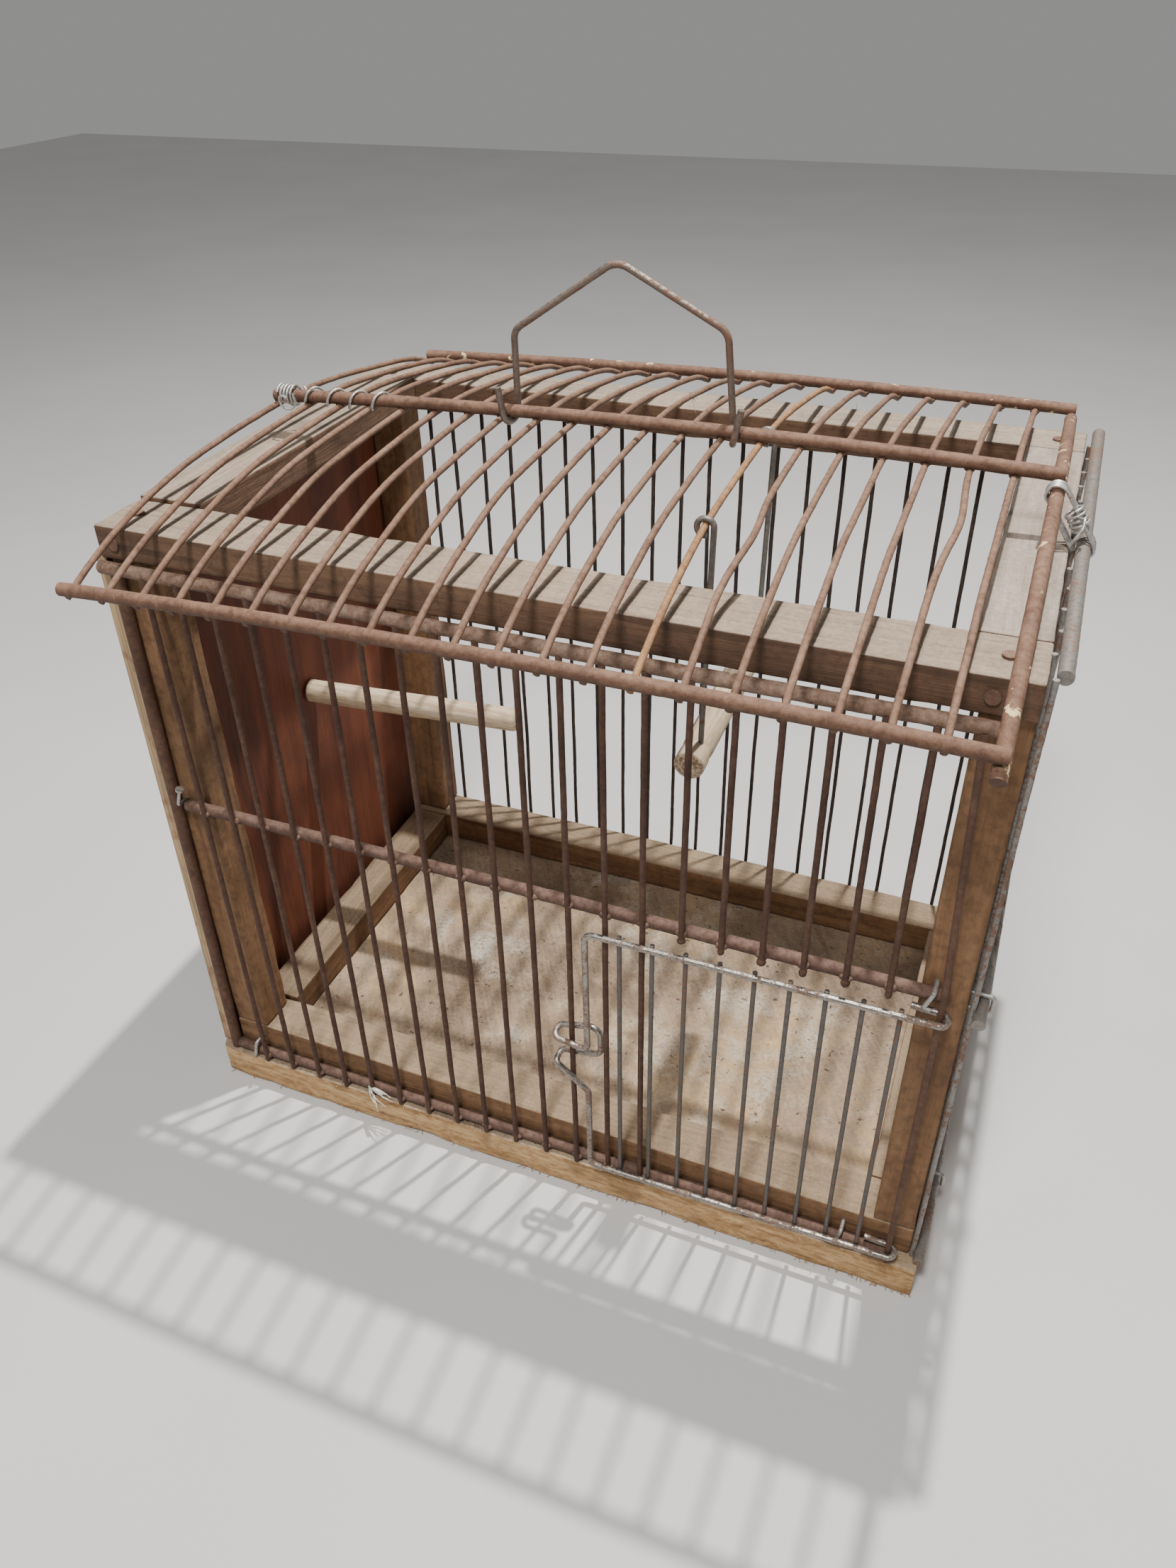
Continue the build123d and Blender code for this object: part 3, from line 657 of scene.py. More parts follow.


# ---- The workshop: meshes and bodies ----


@dataclass
class Workshop:
    """Makes pieces and sets each on its body."""

    trees: dict[str, Tree] = field(default_factory=dict)
    made: int = 0

    def tree(self, name: str) -> Tree:
        """The named Geometry Nodes tree, built on its first use."""
        builders = {"sheath": sheath_tree, "row": row_tree, "blob": blob_tree}
        if name not in self.trees:
            self.trees[name] = builders[name]()
        return self.trees[name]

    def link(self, name: str, mesh: bpy.types.Mesh) -> bpy.types.Object:
        """Put a mesh in the scene as an object at the origin."""
        piece = bpy.data.objects.new(name, mesh)
        bpy.context.scene.collection.objects.link(piece)
        return piece

    def grow(
        self, name: str, tree: str, finish: Material, slot: str, *nodes: str,
        points: list[list[Point]] = (), **values: object,
    ) -> None:
        """Run a Geometry Nodes tree, keep its result as a plain mesh and hand it over to the cage.

        Args:
            name: The piece's name.
            tree: Which tree to run.
            finish: The material.
            slot: The name of a material slot, passed on.
            nodes: The CAD nodes that the piece stands for.
            points: Polylines, or single points as lines of one, that the tree starts from.
            values: The tree's inputs, with spaces in their names as underscores.
        """
        seed = bpy.data.meshes.new(f"{name}.seed")
        corners, edges = [], []
        for line in points:
            first = len(corners)
            corners.extend(tuple(p) for p in line)
            edges.extend((i, i + 1) for i in range(first, len(corners) - 1))
        seed.from_pydata(corners, edges, [])
        holder = self.link(f"{name}.holder", seed)
        modifier = holder.modifiers.new("grow", "NODES")
        modifier.node_group = self.tree(tree)
        keys = {
            item.name: item.identifier
            for item in modifier.node_group.interface.items_tree
            if getattr(item, "in_out", "") == "INPUT"
        }
        for label, value in {**values, "Finish": finish}.items():
            modifier[keys[label.replace("_", " ")]] = value
        graph = bpy.context.evaluated_depsgraph_get()
        mesh = bpy.data.meshes.new_from_object(holder.evaluated_get(graph))
        mesh.name = name
        holder.modifiers.clear()
        bpy.data.objects.remove(holder)
        bpy.data.meshes.remove(seed)
        if not mesh.materials:
            mesh.materials.append(finish)
        self.hand_over(self.link(name, mesh), Body.CAGE, slot, *nodes)

    def carve(
        self, name: str, body: Body, slot: str, node: str, finish: Material,
        points: list[Point], faces: list[tuple[int, ...]],
    ) -> None:
        """Make a piece in the place of a CAD node and hand it over.

        Args:
            name: The piece's name.
            body: The body that it rides on.
            slot: The name of a material slot, passed on.
            node: The CAD node.
            finish: The material.
            points: The mesh's points.
            faces: The mesh's faces, each as the numbers of its points.
        """
        mesh = bpy.data.meshes.new(node)
        mesh.from_pydata([tuple(p) for p in points], [], faces)
        mesh.shade_smooth()
        mesh.materials.append(finish)
        self.hand_over(self.link(name, mesh), body, slot, node)

    def hand_over(self, piece: bpy.types.Object, body: Body, slot: str, *nodes: str) -> None:
        """Set a piece on its body and hide the CAD nodes that it stands for.

        Args:
            piece: The finished piece.
            body: The body that it rides on.
            slot: Not used.
            nodes: The CAD nodes that it stands for.
        """
        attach(piece, body.value)
        if nodes:
            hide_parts(*nodes)
        self.made += 1
        LOG.info("%s rides on %s, %d faces", piece.name, body.value, len(piece.data.polygons))

    def paint(self, node: str, finish: Material) -> None:
        """Give a CAD node a better material."""
        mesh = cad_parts[node].data
        mesh.materials.clear()
        mesh.materials.append(finish)
        LOG.info("%s painted with %s", node, finish.name)


# ---- Timber ----


@dataclass
class Plank:
    """One sawn piece of timber, worn and chipped inside its CAD box."""

    node: str
    wear: float = 1.5 * MM
    chips: float = 1.3 * MM
    ridges: float = 0.35 * MM
    step: float = 5.0 * MM
    seed: float = 0.0
    corner_wear: float = 0.0
    chip_reach: float = 6 * MM

    def __post_init__(self) -> None:
        """Measure the CAD piece; its fibres run along its longest side."""
        box = Box(self.node)
        self.low, self.high, self.middle, self.along = box.low, box.high, box.middle, box.long_axis

    def _marks(self, axis: int) -> list[float]:
        """Grid lines between two faces, closer together near the edges."""
        low, high = self.low[axis], self.high[axis]
        near = [0.0, self.wear * 0.35, self.wear * 0.9]
        start, stop = low + self.wear * 2.2, high - self.wear * 2.2
        count = max(2, round((stop - start) / (self.step * (1.6 if axis == self.along else 0.75))))
        middle = [start + (stop - start) * i / count for i in range(count + 1)]
        return [low + n for n in near] + middle + [high - n for n in reversed(near)]

    def _gap(self, p: Vector, axis: int) -> float:
        """How far a point is from the nearer face."""
        return min(p[axis] - self.low[axis], self.high[axis] - p[axis])

    def _rounded(self, p: Vector) -> Vector:
        """A point of the sharp box, moved onto the box with rounded edges."""
        low, high = self.low, self.high
        inner = Vector(min(max(p[i], low[i] + self.wear), high[i] - self.wear) for i in range(3))
        out = p - inner
        corners = sum(1 for i in range(3) if abs(out[i]) > TINY)
        return inner + out.normalized() * self.wear if corners > 1 else p

    def _worn(self, p: Vector) -> Vector:
        """The point after saw marks, dents and chipped edges have taken wood away."""
        stretched = Vector((p * 220.0)[:])
        stretched[self.along] *= 0.06
        ridge = 0.5 + 0.5 * noise.noise(stretched + Vector((self.seed, 3.1, 7.7)))
        dent = 0.5 + 0.5 * noise.noise(p * 38.0 + Vector((self.seed * 2, 0, 0)))
        depth = self.ridges * ridge + self.ridges * 0.8 * dent
        far = max(self._gap(p, i) for i in range(3) if i != self.along)
        if far < self.chip_reach:
            bite = noise.noise(p * 55.0 + Vector((0, self.seed * 3, 5.5)))
            depth += self.chips * max(0.0, bite) * (1 - far / self.chip_reach)
        inward = Vector((0.0, 0.0, 0.0))
        for i in range(3):
            gap = self._gap(p, i)
            if gap < self.wear:
                inward[i] = math.copysign(1.0 - gap / self.wear * 0.5, self.middle[i] - p[i])
        return p if inward.length < TINY else p + inward.normalized() * depth

    def _rub_corner(self, p: Vector) -> Vector:
        """Round the upright corner at the low X, low Y end."""
        centre = Vector((self.low.x + self.corner_wear, self.low.y + self.corner_wear, p.z))
        out = p - centre
        if p.x > centre.x or p.y > centre.y or out.length <= TINY:
            return p
        return centre + out.normalized() * max(abs(out.x), abs(out.y))

    def build(self, shop: Workshop, finish: Material) -> None:
        """Make the closed mesh and hand it over."""
        marks = [self._marks(axis) for axis in range(3)]
        places: dict[tuple[int, ...], int] = {}
        points: list[Vector] = []
        faces: list[tuple[int, ...]] = []

        def corner(key: tuple[int, ...]) -> int:
            """The number of a grid point, made on its first use."""
            if key not in places:
                places[key] = len(points)
                points.append(self._worn(self._rounded(Vector(marks[i][key[i]] for i in range(3)))))
            return places[key]

        for axis, u, v in ((0, 1, 2), (1, 2, 0), (2, 0, 1)):
            for side in (0, len(marks[axis]) - 1):
                for i in range(len(marks[u]) - 1):
                    for j in range(len(marks[v]) - 1):
                        ring = []
                        for a, b in ((0, 0), (1, 0), (1, 1), (0, 1)):
                            key = [0, 0, 0]
                            key[axis], key[u], key[v] = side, i + a, j + b
                            ring.append(corner(tuple(key)))
                        faces.append(tuple(ring if side else ring[::-1]))
        if self.corner_wear:
            points = [self._rub_corner(p) for p in points]
        shop.carve(f"timber_{self.node}", Body.CAGE, "weathered_wood", self.node, finish, points, faces)


class Frame:
    """The lath frame on its board."""

    LATH_TOPS = {
        "front": (Grain.X, (0.42, 0.32, 0.235)),
        "back": (Grain.X, (0.41, 0.325, 0.245)),
        "left": (Grain.Y, (0.40, 0.31, 0.235)),
        "right": (Grain.Y, (0.46, 0.38, 0.31)),
    }
    WARM = {
        "dark": (0.060, 0.028, 0.013),
        "body": (0.205, 0.106, 0.048),
        "pale": (0.36, 0.215, 0.110),
        "top": (0.42, 0.305, 0.195),
    }

    def finishes(self) -> dict[str, TimberFinish]:
        """The timber finishes by node."""
        looks = {}
        for i, (side, (grain, top)) in enumerate(self.LATH_TOPS.items()):
            looks[f"top_rail_{side}"] = TimberFinish(f"top_{side}_lath", grain, seed=1.0 + i, top=top)
        for i, (side, (grain, _)) in enumerate(self.LATH_TOPS.items()):
            name = f"bottom_{side}_lath"
            looks[f"bottom_rail_{side}"] = TimberFinish(name, grain, seed=5.0 + i, **self.WARM)
        for i, corner in enumerate(("front_left", "front_right", "back_left", "back_right")):
            looks[f"post_{corner}"] = TimberFinish(
                f"{corner}_post", Grain.Z, seed=9.0 + i, stain=0.55, top_cover=0.4, **self.WARM
            )
        return looks

    def build(self, shop: Workshop) -> None:
        """Make the board, rails, posts and plywood."""
        for count, (node, finish) in enumerate(self.finishes().items()):
            Plank(node, seed=10.0 + 3 * count).build(shop, finish.dress())
        board = Plank(
            "base_board", wear=2.0 * MM, chips=2.6 * MM, ridges=0.6 * MM, step=5.5 * MM, seed=2.5,
            corner_wear=9 * MM,
        )
        board.build(shop, FloorBoardFinish("base_board_wood").dress())
        shop.paint("left_panel", PlywoodFinish("left_plywood").dress())


# ---- Wire racks ----


@dataclass
class Rack:
    """A rack of rods and wires; subclasses say where they are."""

    shop: Workshop
    finishes: dict[str, Material]

    def heavy(self, node: str, finish: str, line: list[Point], radius: float, **look: object) -> None:
        """Replace one CAD rod with a rod that is lumpy with rust.

        Args:
            node: The CAD node.
            finish: The finish's key.
            line: The rod's axis.
            radius: The CAD rod's radius.
            look: Inputs of the tree that differ from the usual ones.
        """
        usual = {"Step": 2.5 * MM, "Sway": 0.3 * MM, "Lumps": 0.5 * MM, "Lump_Scale": 240.0, "Sides": 20}
        self.shop.grow(
            f"rod_{node}", "sheath", self.finishes[finish], "rusty_rod", node,
            points=[line], Radius=radius - ROD_SKIN, **{**usual, **look},
        )

    def rod(self, node: str, finish: str, lumps: float = 0.5 * MM, end_gap: float = 0.2 * MM) -> None:
        """Replace a straight CAD rod.

        Args:
            node: The CAD node.
            finish: The finish's key.
            lumps: The height of its lumps.
            end_gap: How far it stops short of the CAD rod's ends.
        """
        box = Box(node)
        start, stop = box.middle.copy(), box.middle.copy()
        start[box.long_axis] = box.low[box.long_axis] + end_gap
        stop[box.long_axis] = box.high[box.long_axis] - end_gap
        look = {"Sway": 0.0, "Lumps": lumps, "Lump_Scale": 210.0, "Seed": float(len(node))}
        self.heavy(node, finish, [start, stop], min(box.size) / 2, **look)

    def row(
        self, node: str, count: int, along: int, finish: str, slot: str, **look: object
    ) -> tuple[Vector, Vector]:
        """Replace a row of straight upright CAD wires.

        Args:
            node: The CAD node.
            count: How many wires it has.
            along: The axis that the row runs along, 0 for X and 1 for Y.
            finish: The finish's key.
            slot: The name of a material slot, passed on.
            look: Inputs of the tree that differ from the usual ones.

        Returns:
            The first wire's foot, and the way from one wire to the next.
        """
        box = Box(node)
        radius = box.size[1 - along] / 2
        foot = Vector((box.middle.x, box.middle.y, box.low.z))
        foot[along] = box.low[along] + radius
        pitch = Vector((0, 0, 0))
        pitch[along] = (box.size[along] - 2 * radius) / (count - 1)
        usual = {
            "Count": count, "First_Foot": foot, "Pitch": pitch, "Height": box.size.z, "Draw": 4,
            "Radius": radius, "Step": 4 * MM, "Sway": 0.9 * MM, "Lumps": 0.5 * MM, "Lump_Scale": 300.0,
            "Seed": float(count),
        }
        self.shop.grow(f"wires_{node}", "row", self.finishes[finish], slot, node, **{**usual, **look})
        return foot, pitch

    def welds(self, name: str, spots: list[Point], finish: str, radius: float) -> None:
        """Lumps of weld and rust where wires cross rods."""
        self.shop.grow(
            name, "blob", self.finishes[finish], "rusty_rod",
            points=[[spot] for spot in spots], Radius=radius, Spread=0.3,
        )


@dataclass
class FrontGrille(Rack):
    """The front grille, over the doorway and beside it."""

    long_count: int = 14
    short_count: int = 6
    drop: float = 1.6 * MM

    def build(self) -> None:
        """Make the rods, wires and welds."""
        # The top rod gets a paler copy of the rod rust: painted light, for where the light falls on it.
        self.rod("front_grille_top_rod", "dusty_rod", 0.8 * MM)
        self.rod("front_grille_middle_rod", "dark_rod", 0.9 * MM)
        self.rod("front_grille_bottom_rod", "dark_rod", 0.9 * MM)
        foot, pitch = self._wires("front_wires_long", self.long_count)
        short = Box("front_wires_short")
        end = foot + pitch * self.long_count
        end.z = short.low.z + self.drop
        radius, height = Box("front_wires_long").size.y / 2, short.high.z - end.z
        look = {"First_Foot": end, "Pitch": pitch, "Radius": radius, "Height": height}
        self._wires("front_wires_short", self.short_count, **look)
        drops = [end + pitch * i + Vector((0, -0.3, 1.0)) * MM for i in range(self.short_count)]
        self.welds("front_wire_drops", drops, "dark_wire", 2.25 * MM)
        middle_z, bottom_z = (Box(f"front_grille_{rod}_rod").middle.z for rod in ("middle", "bottom"))
        spots = []
        for i in range(self.long_count + self.short_count):
            for side in (-1.6, 1.6):
                x, y, _ = foot + pitch * i + Vector((side, 0.9, 0)) * MM
                spots.append((x, y, middle_z + (i % 3 - 1) * 0.7 * MM))
                if i < self.long_count:
                    spots.append((x, y, bottom_z))
        self.welds("front_grille_welds", spots, "dark_rod", 1.7 * MM)

    def _wires(self, node: str, count: int, **look: object) -> tuple[Vector, Vector]:
        """One of the two rows of front wires."""
        usual = {"Lean": 0.002, "Draw": count, "Sway": 0.8 * MM, "Lumps": 0.45 * MM, "Lump_Scale": 260.0}
        return self.row(node, count, 0, "dark_wire", "dark_rusty_wire", **{**usual, **look})


@dataclass
class BackGrille(Rack):
    """The back grille."""

    count: int = 20

    def build(self) -> None:
        """Make the wires and rods."""
        self.row("back_wires", self.count, 0, "black_wire", "dark_rusty_wire", Lean=0.006, Sway=1.2 * MM)
        for end in ("top", "bottom"):
            self.rod(f"back_grille_{end}_rod", "dark_rod")


@dataclass
class RightGrille(Rack):
    """The right grille."""

    count: int = 14

    def build(self) -> None:
        """Make the wires and rods."""
        self.row("right_wires", self.count, 1, "grey_wire", "grey_wire", Lean=0.003)
        for end in ("top", "middle", "bottom"):
            self.rod(f"right_grille_{end}_rod", "grey_rod", 0.6 * MM)


@dataclass(frozen=True)
class Kink:
    """A place where a roof wire was knocked sideways."""

    wire: int
    y: float
    shift: float
    width: float


@dataclass
class Roof(Rack):
    """The arched rack: 21 thin wires, three cross rods and a side rod."""

    count: int = 21
    tilt: float = 0.013
    middle_x: float = 4.3 * MM
    half_span: float = 214.8 * MM
    crown: float = 4.9 * MM
    crown_y: float = -5.0 * MM
    crown_fade: float = 0.0011 / 0.185
    swing_wire: int = 14
    wire_radius: float = 1.65 * MM
    rod_rise: float = 4.5 * MM
    steps: int = 64
    # The arch of the first wire's axis, front to back, in millimetres.
    arch: tuple[tuple[float, float], ...] = (
        (-195.5, 392.6), (-177, 401.4), (-150, 411.1), (-101, 422.3), (-59, 426.2),
        (-5, 428.2), (37, 427.2), (93, 420.6), (150, 411.1), (178, 401.6),
    )
    kinks: tuple[Kink, ...] = (
        Kink(15, -0.098, 2.6 * MM, 0.020),
        Kink(15, -0.142, -1.0 * MM, 0.020),
        Kink(19, -0.062, 3.6 * MM, 0.034),
        Kink(5, 0.060, 1.2 * MM, 0.05),
        Kink(9, -0.080, -1.2 * MM, 0.05),
    )

    def __post_init__(self) -> None:
        """Find the first wire and the pitch in the CAD row."""
        box = Box("roof_wires")
        self.first_x = box.low.x + self.wire_radius
        self.pitch = (box.size.x - 2 * self.wire_radius) / (self.count - 1)

    def _height(self, y: float) -> float:
        """The first wire's height at y, on a smooth curve through the arch's points."""
        points = [(a * MM, b * MM) for a, b in self.arch]
        last = len(points) - 1
        i = next((i for i in range(last) if y <= points[i + 1][0]), last - 1)
        (y0, z0), (y1, z1) = points[i], points[i + 1]
        before, after = points[max(0, i - 1)], points[min(last, i + 2)]
        span = y1 - y0
        slopes = span * (z1 - before[1]) / (y1 - before[0]), span * (after[1] - z0) / (after[0] - y0)
        t = (y - y0) / span
        rise = 3 * t**2 - 2 * t**3
        return z0 + rise * (z1 - z0) + (t**3 - 2 * t**2 + t) * slopes[0] + (t**3 - t**2) * slopes[1]

    def _top(self, x: float, y: float) -> float:
        """The height of the wires' axes at (x, y): the arch, tilted and with a shallow crown."""
        crown = self.crown - self.crown_fade * abs(y - self.crown_y)
        across = (x - self.middle_x) / self.half_span
        return self._height(y) + self.tilt * (x - self.first_x) + crown * (1 - across**2)

    def _path(self, number: int, x: float, drop: float = 0.0) -> list[Point]:
        """Points along an arch, front to back.

        Args:
            number: Which wire, for its own kinks.
            x: Its place along the front.
            drop: How far it is lowered.

        Returns:
            The points.
        """
        front, back = self.arch[0][0] * MM, self.arch[-1][0] * MM
        kinks = [kink for kink in self.kinks if kink.wire == number]
        path = []
        for k in range(self.steps + 1):
            y = front + (back - front) * k / self.steps
            side = sum(kink.shift * math.exp(-(((y - kink.y) / kink.width) ** 2)) for kink in kinks)
            path.append((x + side, y, self._top(x, y) - drop))
        return path

    def build(self) -> None:
        """Make the wires, rods and welds."""
        paths = [self._path(i, self.first_x + self.pitch * i) for i in range(self.count)]
        swing = paths.pop(self.swing_wire)
        look = {"Radius": self.wire_radius, "Lump_Scale": 320.0, "Sides": 12, "Seed": 2.0}
        self.shop.grow(
            "roof_arched_wires", "sheath", self.finishes["roof_wire"], "rusty_rod", "roof_wires",
            points=paths, Step=3 * MM, Sway=0.9 * MM, Lumps=0.5 * MM, **look,
        )
        self.shop.grow(
            "roof_swing_wire", "sheath", self.finishes["ochre_wire"], "rusty_rod",
            points=[swing], Step=2.5 * MM, Sway=0.0, Lumps=0.4 * MM, **look,
        )
        self._cross_rod("roof_front_rod", "roof_rod", -194.0 * MM)
        self._cross_rod("roof_middle_rod", "roof_rod", -4.9 * MM)
        self._cross_rod("roof_back_rod", "flaked_rod", 175.5 * MM)
        self._side_rod()
        self._welds()

    def _cross_rod(self, node: str, finish: str, wire_y: float) -> None:
        """Make one of the three rods that lie over the wires, on its own shallow bow.

        Args:
            node: The CAD node.
            finish: The finish's key.
            wire_y: Where it crosses the wires.
        """
        box = Box(node)
        radius = box.size.y / 2
        slope = math.atan((self._height(wire_y + MM) - self._height(wire_y - MM)) / (2 * MM))
        steps, end_gap = 60, 0.3 * MM
        path = []
        for k in range(steps + 1):
            x = box.low.x + end_gap + (box.size.x - 2 * end_gap) * k / steps
            z = self._top(x, wire_y) + self.rod_rise * math.cos(slope)
            path.append((x, box.middle.y, min(z, box.high.z - radius)))
        self.heavy(node, finish, path, radius, Seed=4.0)

    def _side_rod(self) -> None:
        """The heavy rod down the right side, a little longer at the front than the wires."""
        box = Box("roof_side_rod")
        radius = box.size.x / 2
        path = self._path(-1, box.middle.x, radius - self.wire_radius)
        first, second = Vector(path[0]), Vector(path[1])
        path[0] = tuple(first + (first - second).normalized() * 5.4 * MM)
        self.heavy("roof_side_rod", "flaked_rod", path, radius, Seed=8.0)

    def _welds(self) -> None:
        """Welds under the cross rods, where the wires pass."""
        spots = []
        for y in (-193.5 * MM, -4.9 * MM, 175.0 * MM):
            for i in range(self.count):
                x = self.first_x + self.pitch * i
                z = self._top(x, y) + 1.2 * MM
                spots.extend([(x - 1.5 * MM, y, z), (x + 1.5 * MM, y, z)])
        self.welds("roof_welds", spots, "roof_rod", 1.5 * MM)


# ---- Small things ----


@dataclass
class TieWires:
    """Binding wire wound by hand to hold the roof down."""

    shop: Workshop
    finish: Material
    gauge: float = 1.5 * MM
    tail: tuple[Point, ...] = ((1, -4, 2), (3, -7, 3), (3, -10, 0), (1, -12, -4), (-1, -12, -8))

    def wind(
        self, start: Vector, stop: Vector, turns: float, radius: float, phase: float, seed: int
    ) -> list[Point]:
        """A wire wound unevenly round a straight line.

        Args:
            start: The line's start.
            stop: The line's end.
            turns: How many turns it makes.
            radius: The winding's radius.
            phase: The angle that it starts from.
            seed: The seed of its unevenness.

        Returns:
            The wire's points.
        """
        draw = random.Random(seed)
        per_turn = 14
        count = int(turns * per_turn)
        along = (stop - start).normalized()
        side = along.cross(Vector((0, 0, 1))).normalized()
        up = side.cross(along)
        points = []
        wobble = 0.0
        for k in range(count + 1):
            wobble = wobble * 0.7 + draw.uniform(-0.25, 0.25)
            angle = phase + 2 * math.pi * k / per_turn
            out = (side * math.cos(angle) + up * math.sin(angle)) * radius * (1 + 0.10 * wobble)
            points.append(tuple(start + (stop - start) * k / count + out))
        return points

    def _tie(self, name: str, node: str, lines: list[list[Point]], sway: float, seed: float) -> None:
        """Make one tie in the place of a CAD node."""
        self.shop.grow(
            name, "sheath", self.finish, "tie_wire", node, points=lines,
            Radius=self.gauge / 2, Step=1.2 * MM, Sway=sway, Lumps=0.05 * MM, Sides=8, Seed=seed,
        )

    def build(self) -> None:
        """Make both ties."""
        tie = Box("tie_wire_left")
        end = Vector((tie.low.x, Box("roof_middle_rod").middle.y, tie.middle.z))
        windings = (
            ((6, 0, -0.4), (tie.size.x / MM, 0, 1.2), 4.25, 4.75, math.pi / 2, 3),
            ((-2, 0, -0.6), (9, 0, -0.3), 5.0, 5.0, 0.4, 5),
            ((4.5, -9, -3.5), (4.5, 10, -2.8), 3.0, 4.4, 1.0, 8),
        )
        lines = [
            self.wind(end + Vector(start) * MM, end + Vector(stop) * MM, turns, radius * MM, phase, seed)
            for start, stop, turns, radius, phase, seed in windings
        ]
        self._tie("left_tie", "tie_wire_left", lines, 0.3 * MM, 1.0)
        tie = Box("tie_wire_right")
        upper = Vector((Box("roof_side_rod").middle.x, tie.middle.y, tie.high.z - 4.6 * MM))
        lower = Box("right_grille_top_rod").middle
        lower.y = tie.middle.y
        lines = []
        for turn in range(4):
            shift = Vector((0, (turn - 1.5) * 2.1 * MM, 0))
            lines.append(self._sling(upper + shift, lower + shift * 1.3, 4.6 * MM, turn))
        middle = (upper + lower) / 2 + Vector((3.0 * MM, 0, 1.0 * MM))
        reach = (lower - upper).normalized() * 5 * MM
        knot = self.wind(middle - reach, middle + reach, 4.0, 4.2 * MM, 0.3, 11)
        tail = [tuple(middle + Vector(step) * MM) for step in self.tail]
        self._tie("right_tie", "tie_wire_right", [*lines, knot, tail], 0.5 * MM, 6.0)

    def _sling(self, upper: Vector, lower: Vector, radius: float, seed: int) -> list[Point]:
        """One loose loop round two rods that run along Y.

        Args:
            upper: The upper rod's centre.
            lower: The lower rod's centre.
            radius: The loop's radius round each of them.
            seed: The seed of its unevenness.

        Returns:
            The wire's points.
        """
        draw = random.Random(40 + seed)
        along = (lower - upper).normalized()
        across = Vector((along.z, 0, -along.x))
        points = []
        for centre, start in ((upper, 0.0), (lower, math.pi)):
            for k in range(9):
                angle = start + math.pi * k / 8
                out = across * math.cos(angle) - along * math.sin(angle)
                points.append(centre + out * radius * draw.uniform(0.97, 1.08))
        points.append(points[0] + Vector((0, 1.2 * MM, 0)))
        return [tuple(p) for p in points]


@dataclass(frozen=True)
class Turning:
    """A dowel: its axis, how far each end is rounded, where it is worn, and what carries it."""

    node: str
    start: Point
    stop: Point
    radius: float
    round_start: float
    round_stop: float
    groove: float
    grain: Grain
    body: Body
    steps: int = 150
    sides: int = 40

    def _full(self, reach: float, length: float) -> float:
        """The share of the radius that is left at a distance along the dowel."""
        full = 1.0
        for gap, soft in ((reach, self.round_start), (length - reach, self.round_stop)):
            if gap < soft:
                full *= 0.25 + 0.75 * math.sqrt(max(0.0, 1 - (1 - gap / soft) ** 2))
        return full - 0.09 * math.exp(-(((reach - self.groove) / (1.8 * MM)) ** 2))

    def build(self, shop: Workshop) -> None:
        """Make the closed mesh inside the CAD dowel and hand it over."""
        start, stop = Vector(self.start), Vector(self.stop)
        length = (stop - start).length
        along = (stop - start).normalized()
        side = along.cross(Vector((0, 0, 1))).normalized()
        up = side.cross(along)
        radius = min(self.radius, min(Box(self.node).size) / 2)
        points = [tuple(start)]
        for k in range(self.steps + 1):
            reach = length * k / self.steps
            centre = start + along * reach
            full = self._full(reach, length)
            for j in range(self.sides):
                angle = 2 * math.pi * j / self.sides
                out = side * math.cos(angle) + up * math.sin(angle)
                dent = 0.5 + 0.5 * noise.noise((centre + out * radius) * 90.0)
                split = 0.0
                if length - reach < 14 * MM and self.round_stop > 3 * MM:
                    split = 0.09 * math.exp(-(((angle - math.pi / 2) / 0.10) ** 2))
                points.append(centre + out * radius * (full - 0.035 * dent - split))
        points.append(stop)
        last = 1 + self.steps * self.sides
        pairs = [(j, (j + 1) % self.sides) for j in range(self.sides)]
        faces = [
            (ring + a, ring + a + self.sides, ring + b + self.sides, ring + b)
            for ring in range(1, last, self.sides)
            for a, b in pairs
        ]
        for a, b in pairs:
            faces.extend([(0, 1 + a, 1 + b), (last + self.sides, last + b, last + a)])
        finish = DowelFinish(f"{self.node}_wood", self.grain).dress()
        shop.carve(f"turned_{self.node}", self.body, "dowel_wood", self.node, finish, points, faces)


DOWELS = (
    Turning(
        "perch_dowel", (-0.2305, 0.0, 0.226), (-0.0742, 0.009, 0.230), 7.9 * MM,
        round_start=MM, round_stop=5.5 * MM, groove=0.3, grain=Grain.X, body=Body.CAGE,
    ),
    Turning(
        "swing_dowel", (0.075884, -0.1098, 0.3071), (0.075884, 0.0218, 0.3140), 8.1 * MM,
        round_start=1.2 * MM, round_stop=1.2 * MM, groove=13 * MM, grain=Grain.Y, body=Body.SWING,
    ),
)


@dataclass
class Splinters:
    """Torn fibres along the base board's lower front edge."""

    shop: Workshop
    finish: Material
    count: int = 110

    def build(self) -> None:
        """Make them."""
        box = Box("base_board")
        draw = random.Random(77)
        fibres = []
        for _ in range(self.count):
            x = box.low.x + 6 * MM + (box.size.x - 7 * MM) * (1 - draw.random() ** 1.6)
            z = box.low.z + draw.choice((1.2, 1.6, 2.4, 22.6)) * MM
            point = Vector((x, box.low.y + 1.6 * MM, z))
            ranges = ((-1, 1), (-1.1, -0.3), (-0.25, 0.3))
            heading = Vector([draw.uniform(*ends) for ends in ranges]).normalized()
            line = [tuple(point)]
            for _ in range(4):
                point = point + heading * draw.uniform(0.5, 1.1) * MM
                point.z = max(point.z, 0.5 * MM)
                heading.z += draw.uniform(-0.15, 0.15)
                line.append(tuple(point))
            fibres.append(line)
        self.shop.grow(
            "board_splinters", "sheath", self.finish, "weathered_wood", points=fibres,
            Radius=0.22 * MM, Step=0.8 * MM, Sway=0.0, Lumps=0.0, Sides=4, Seed=0.0,
        )


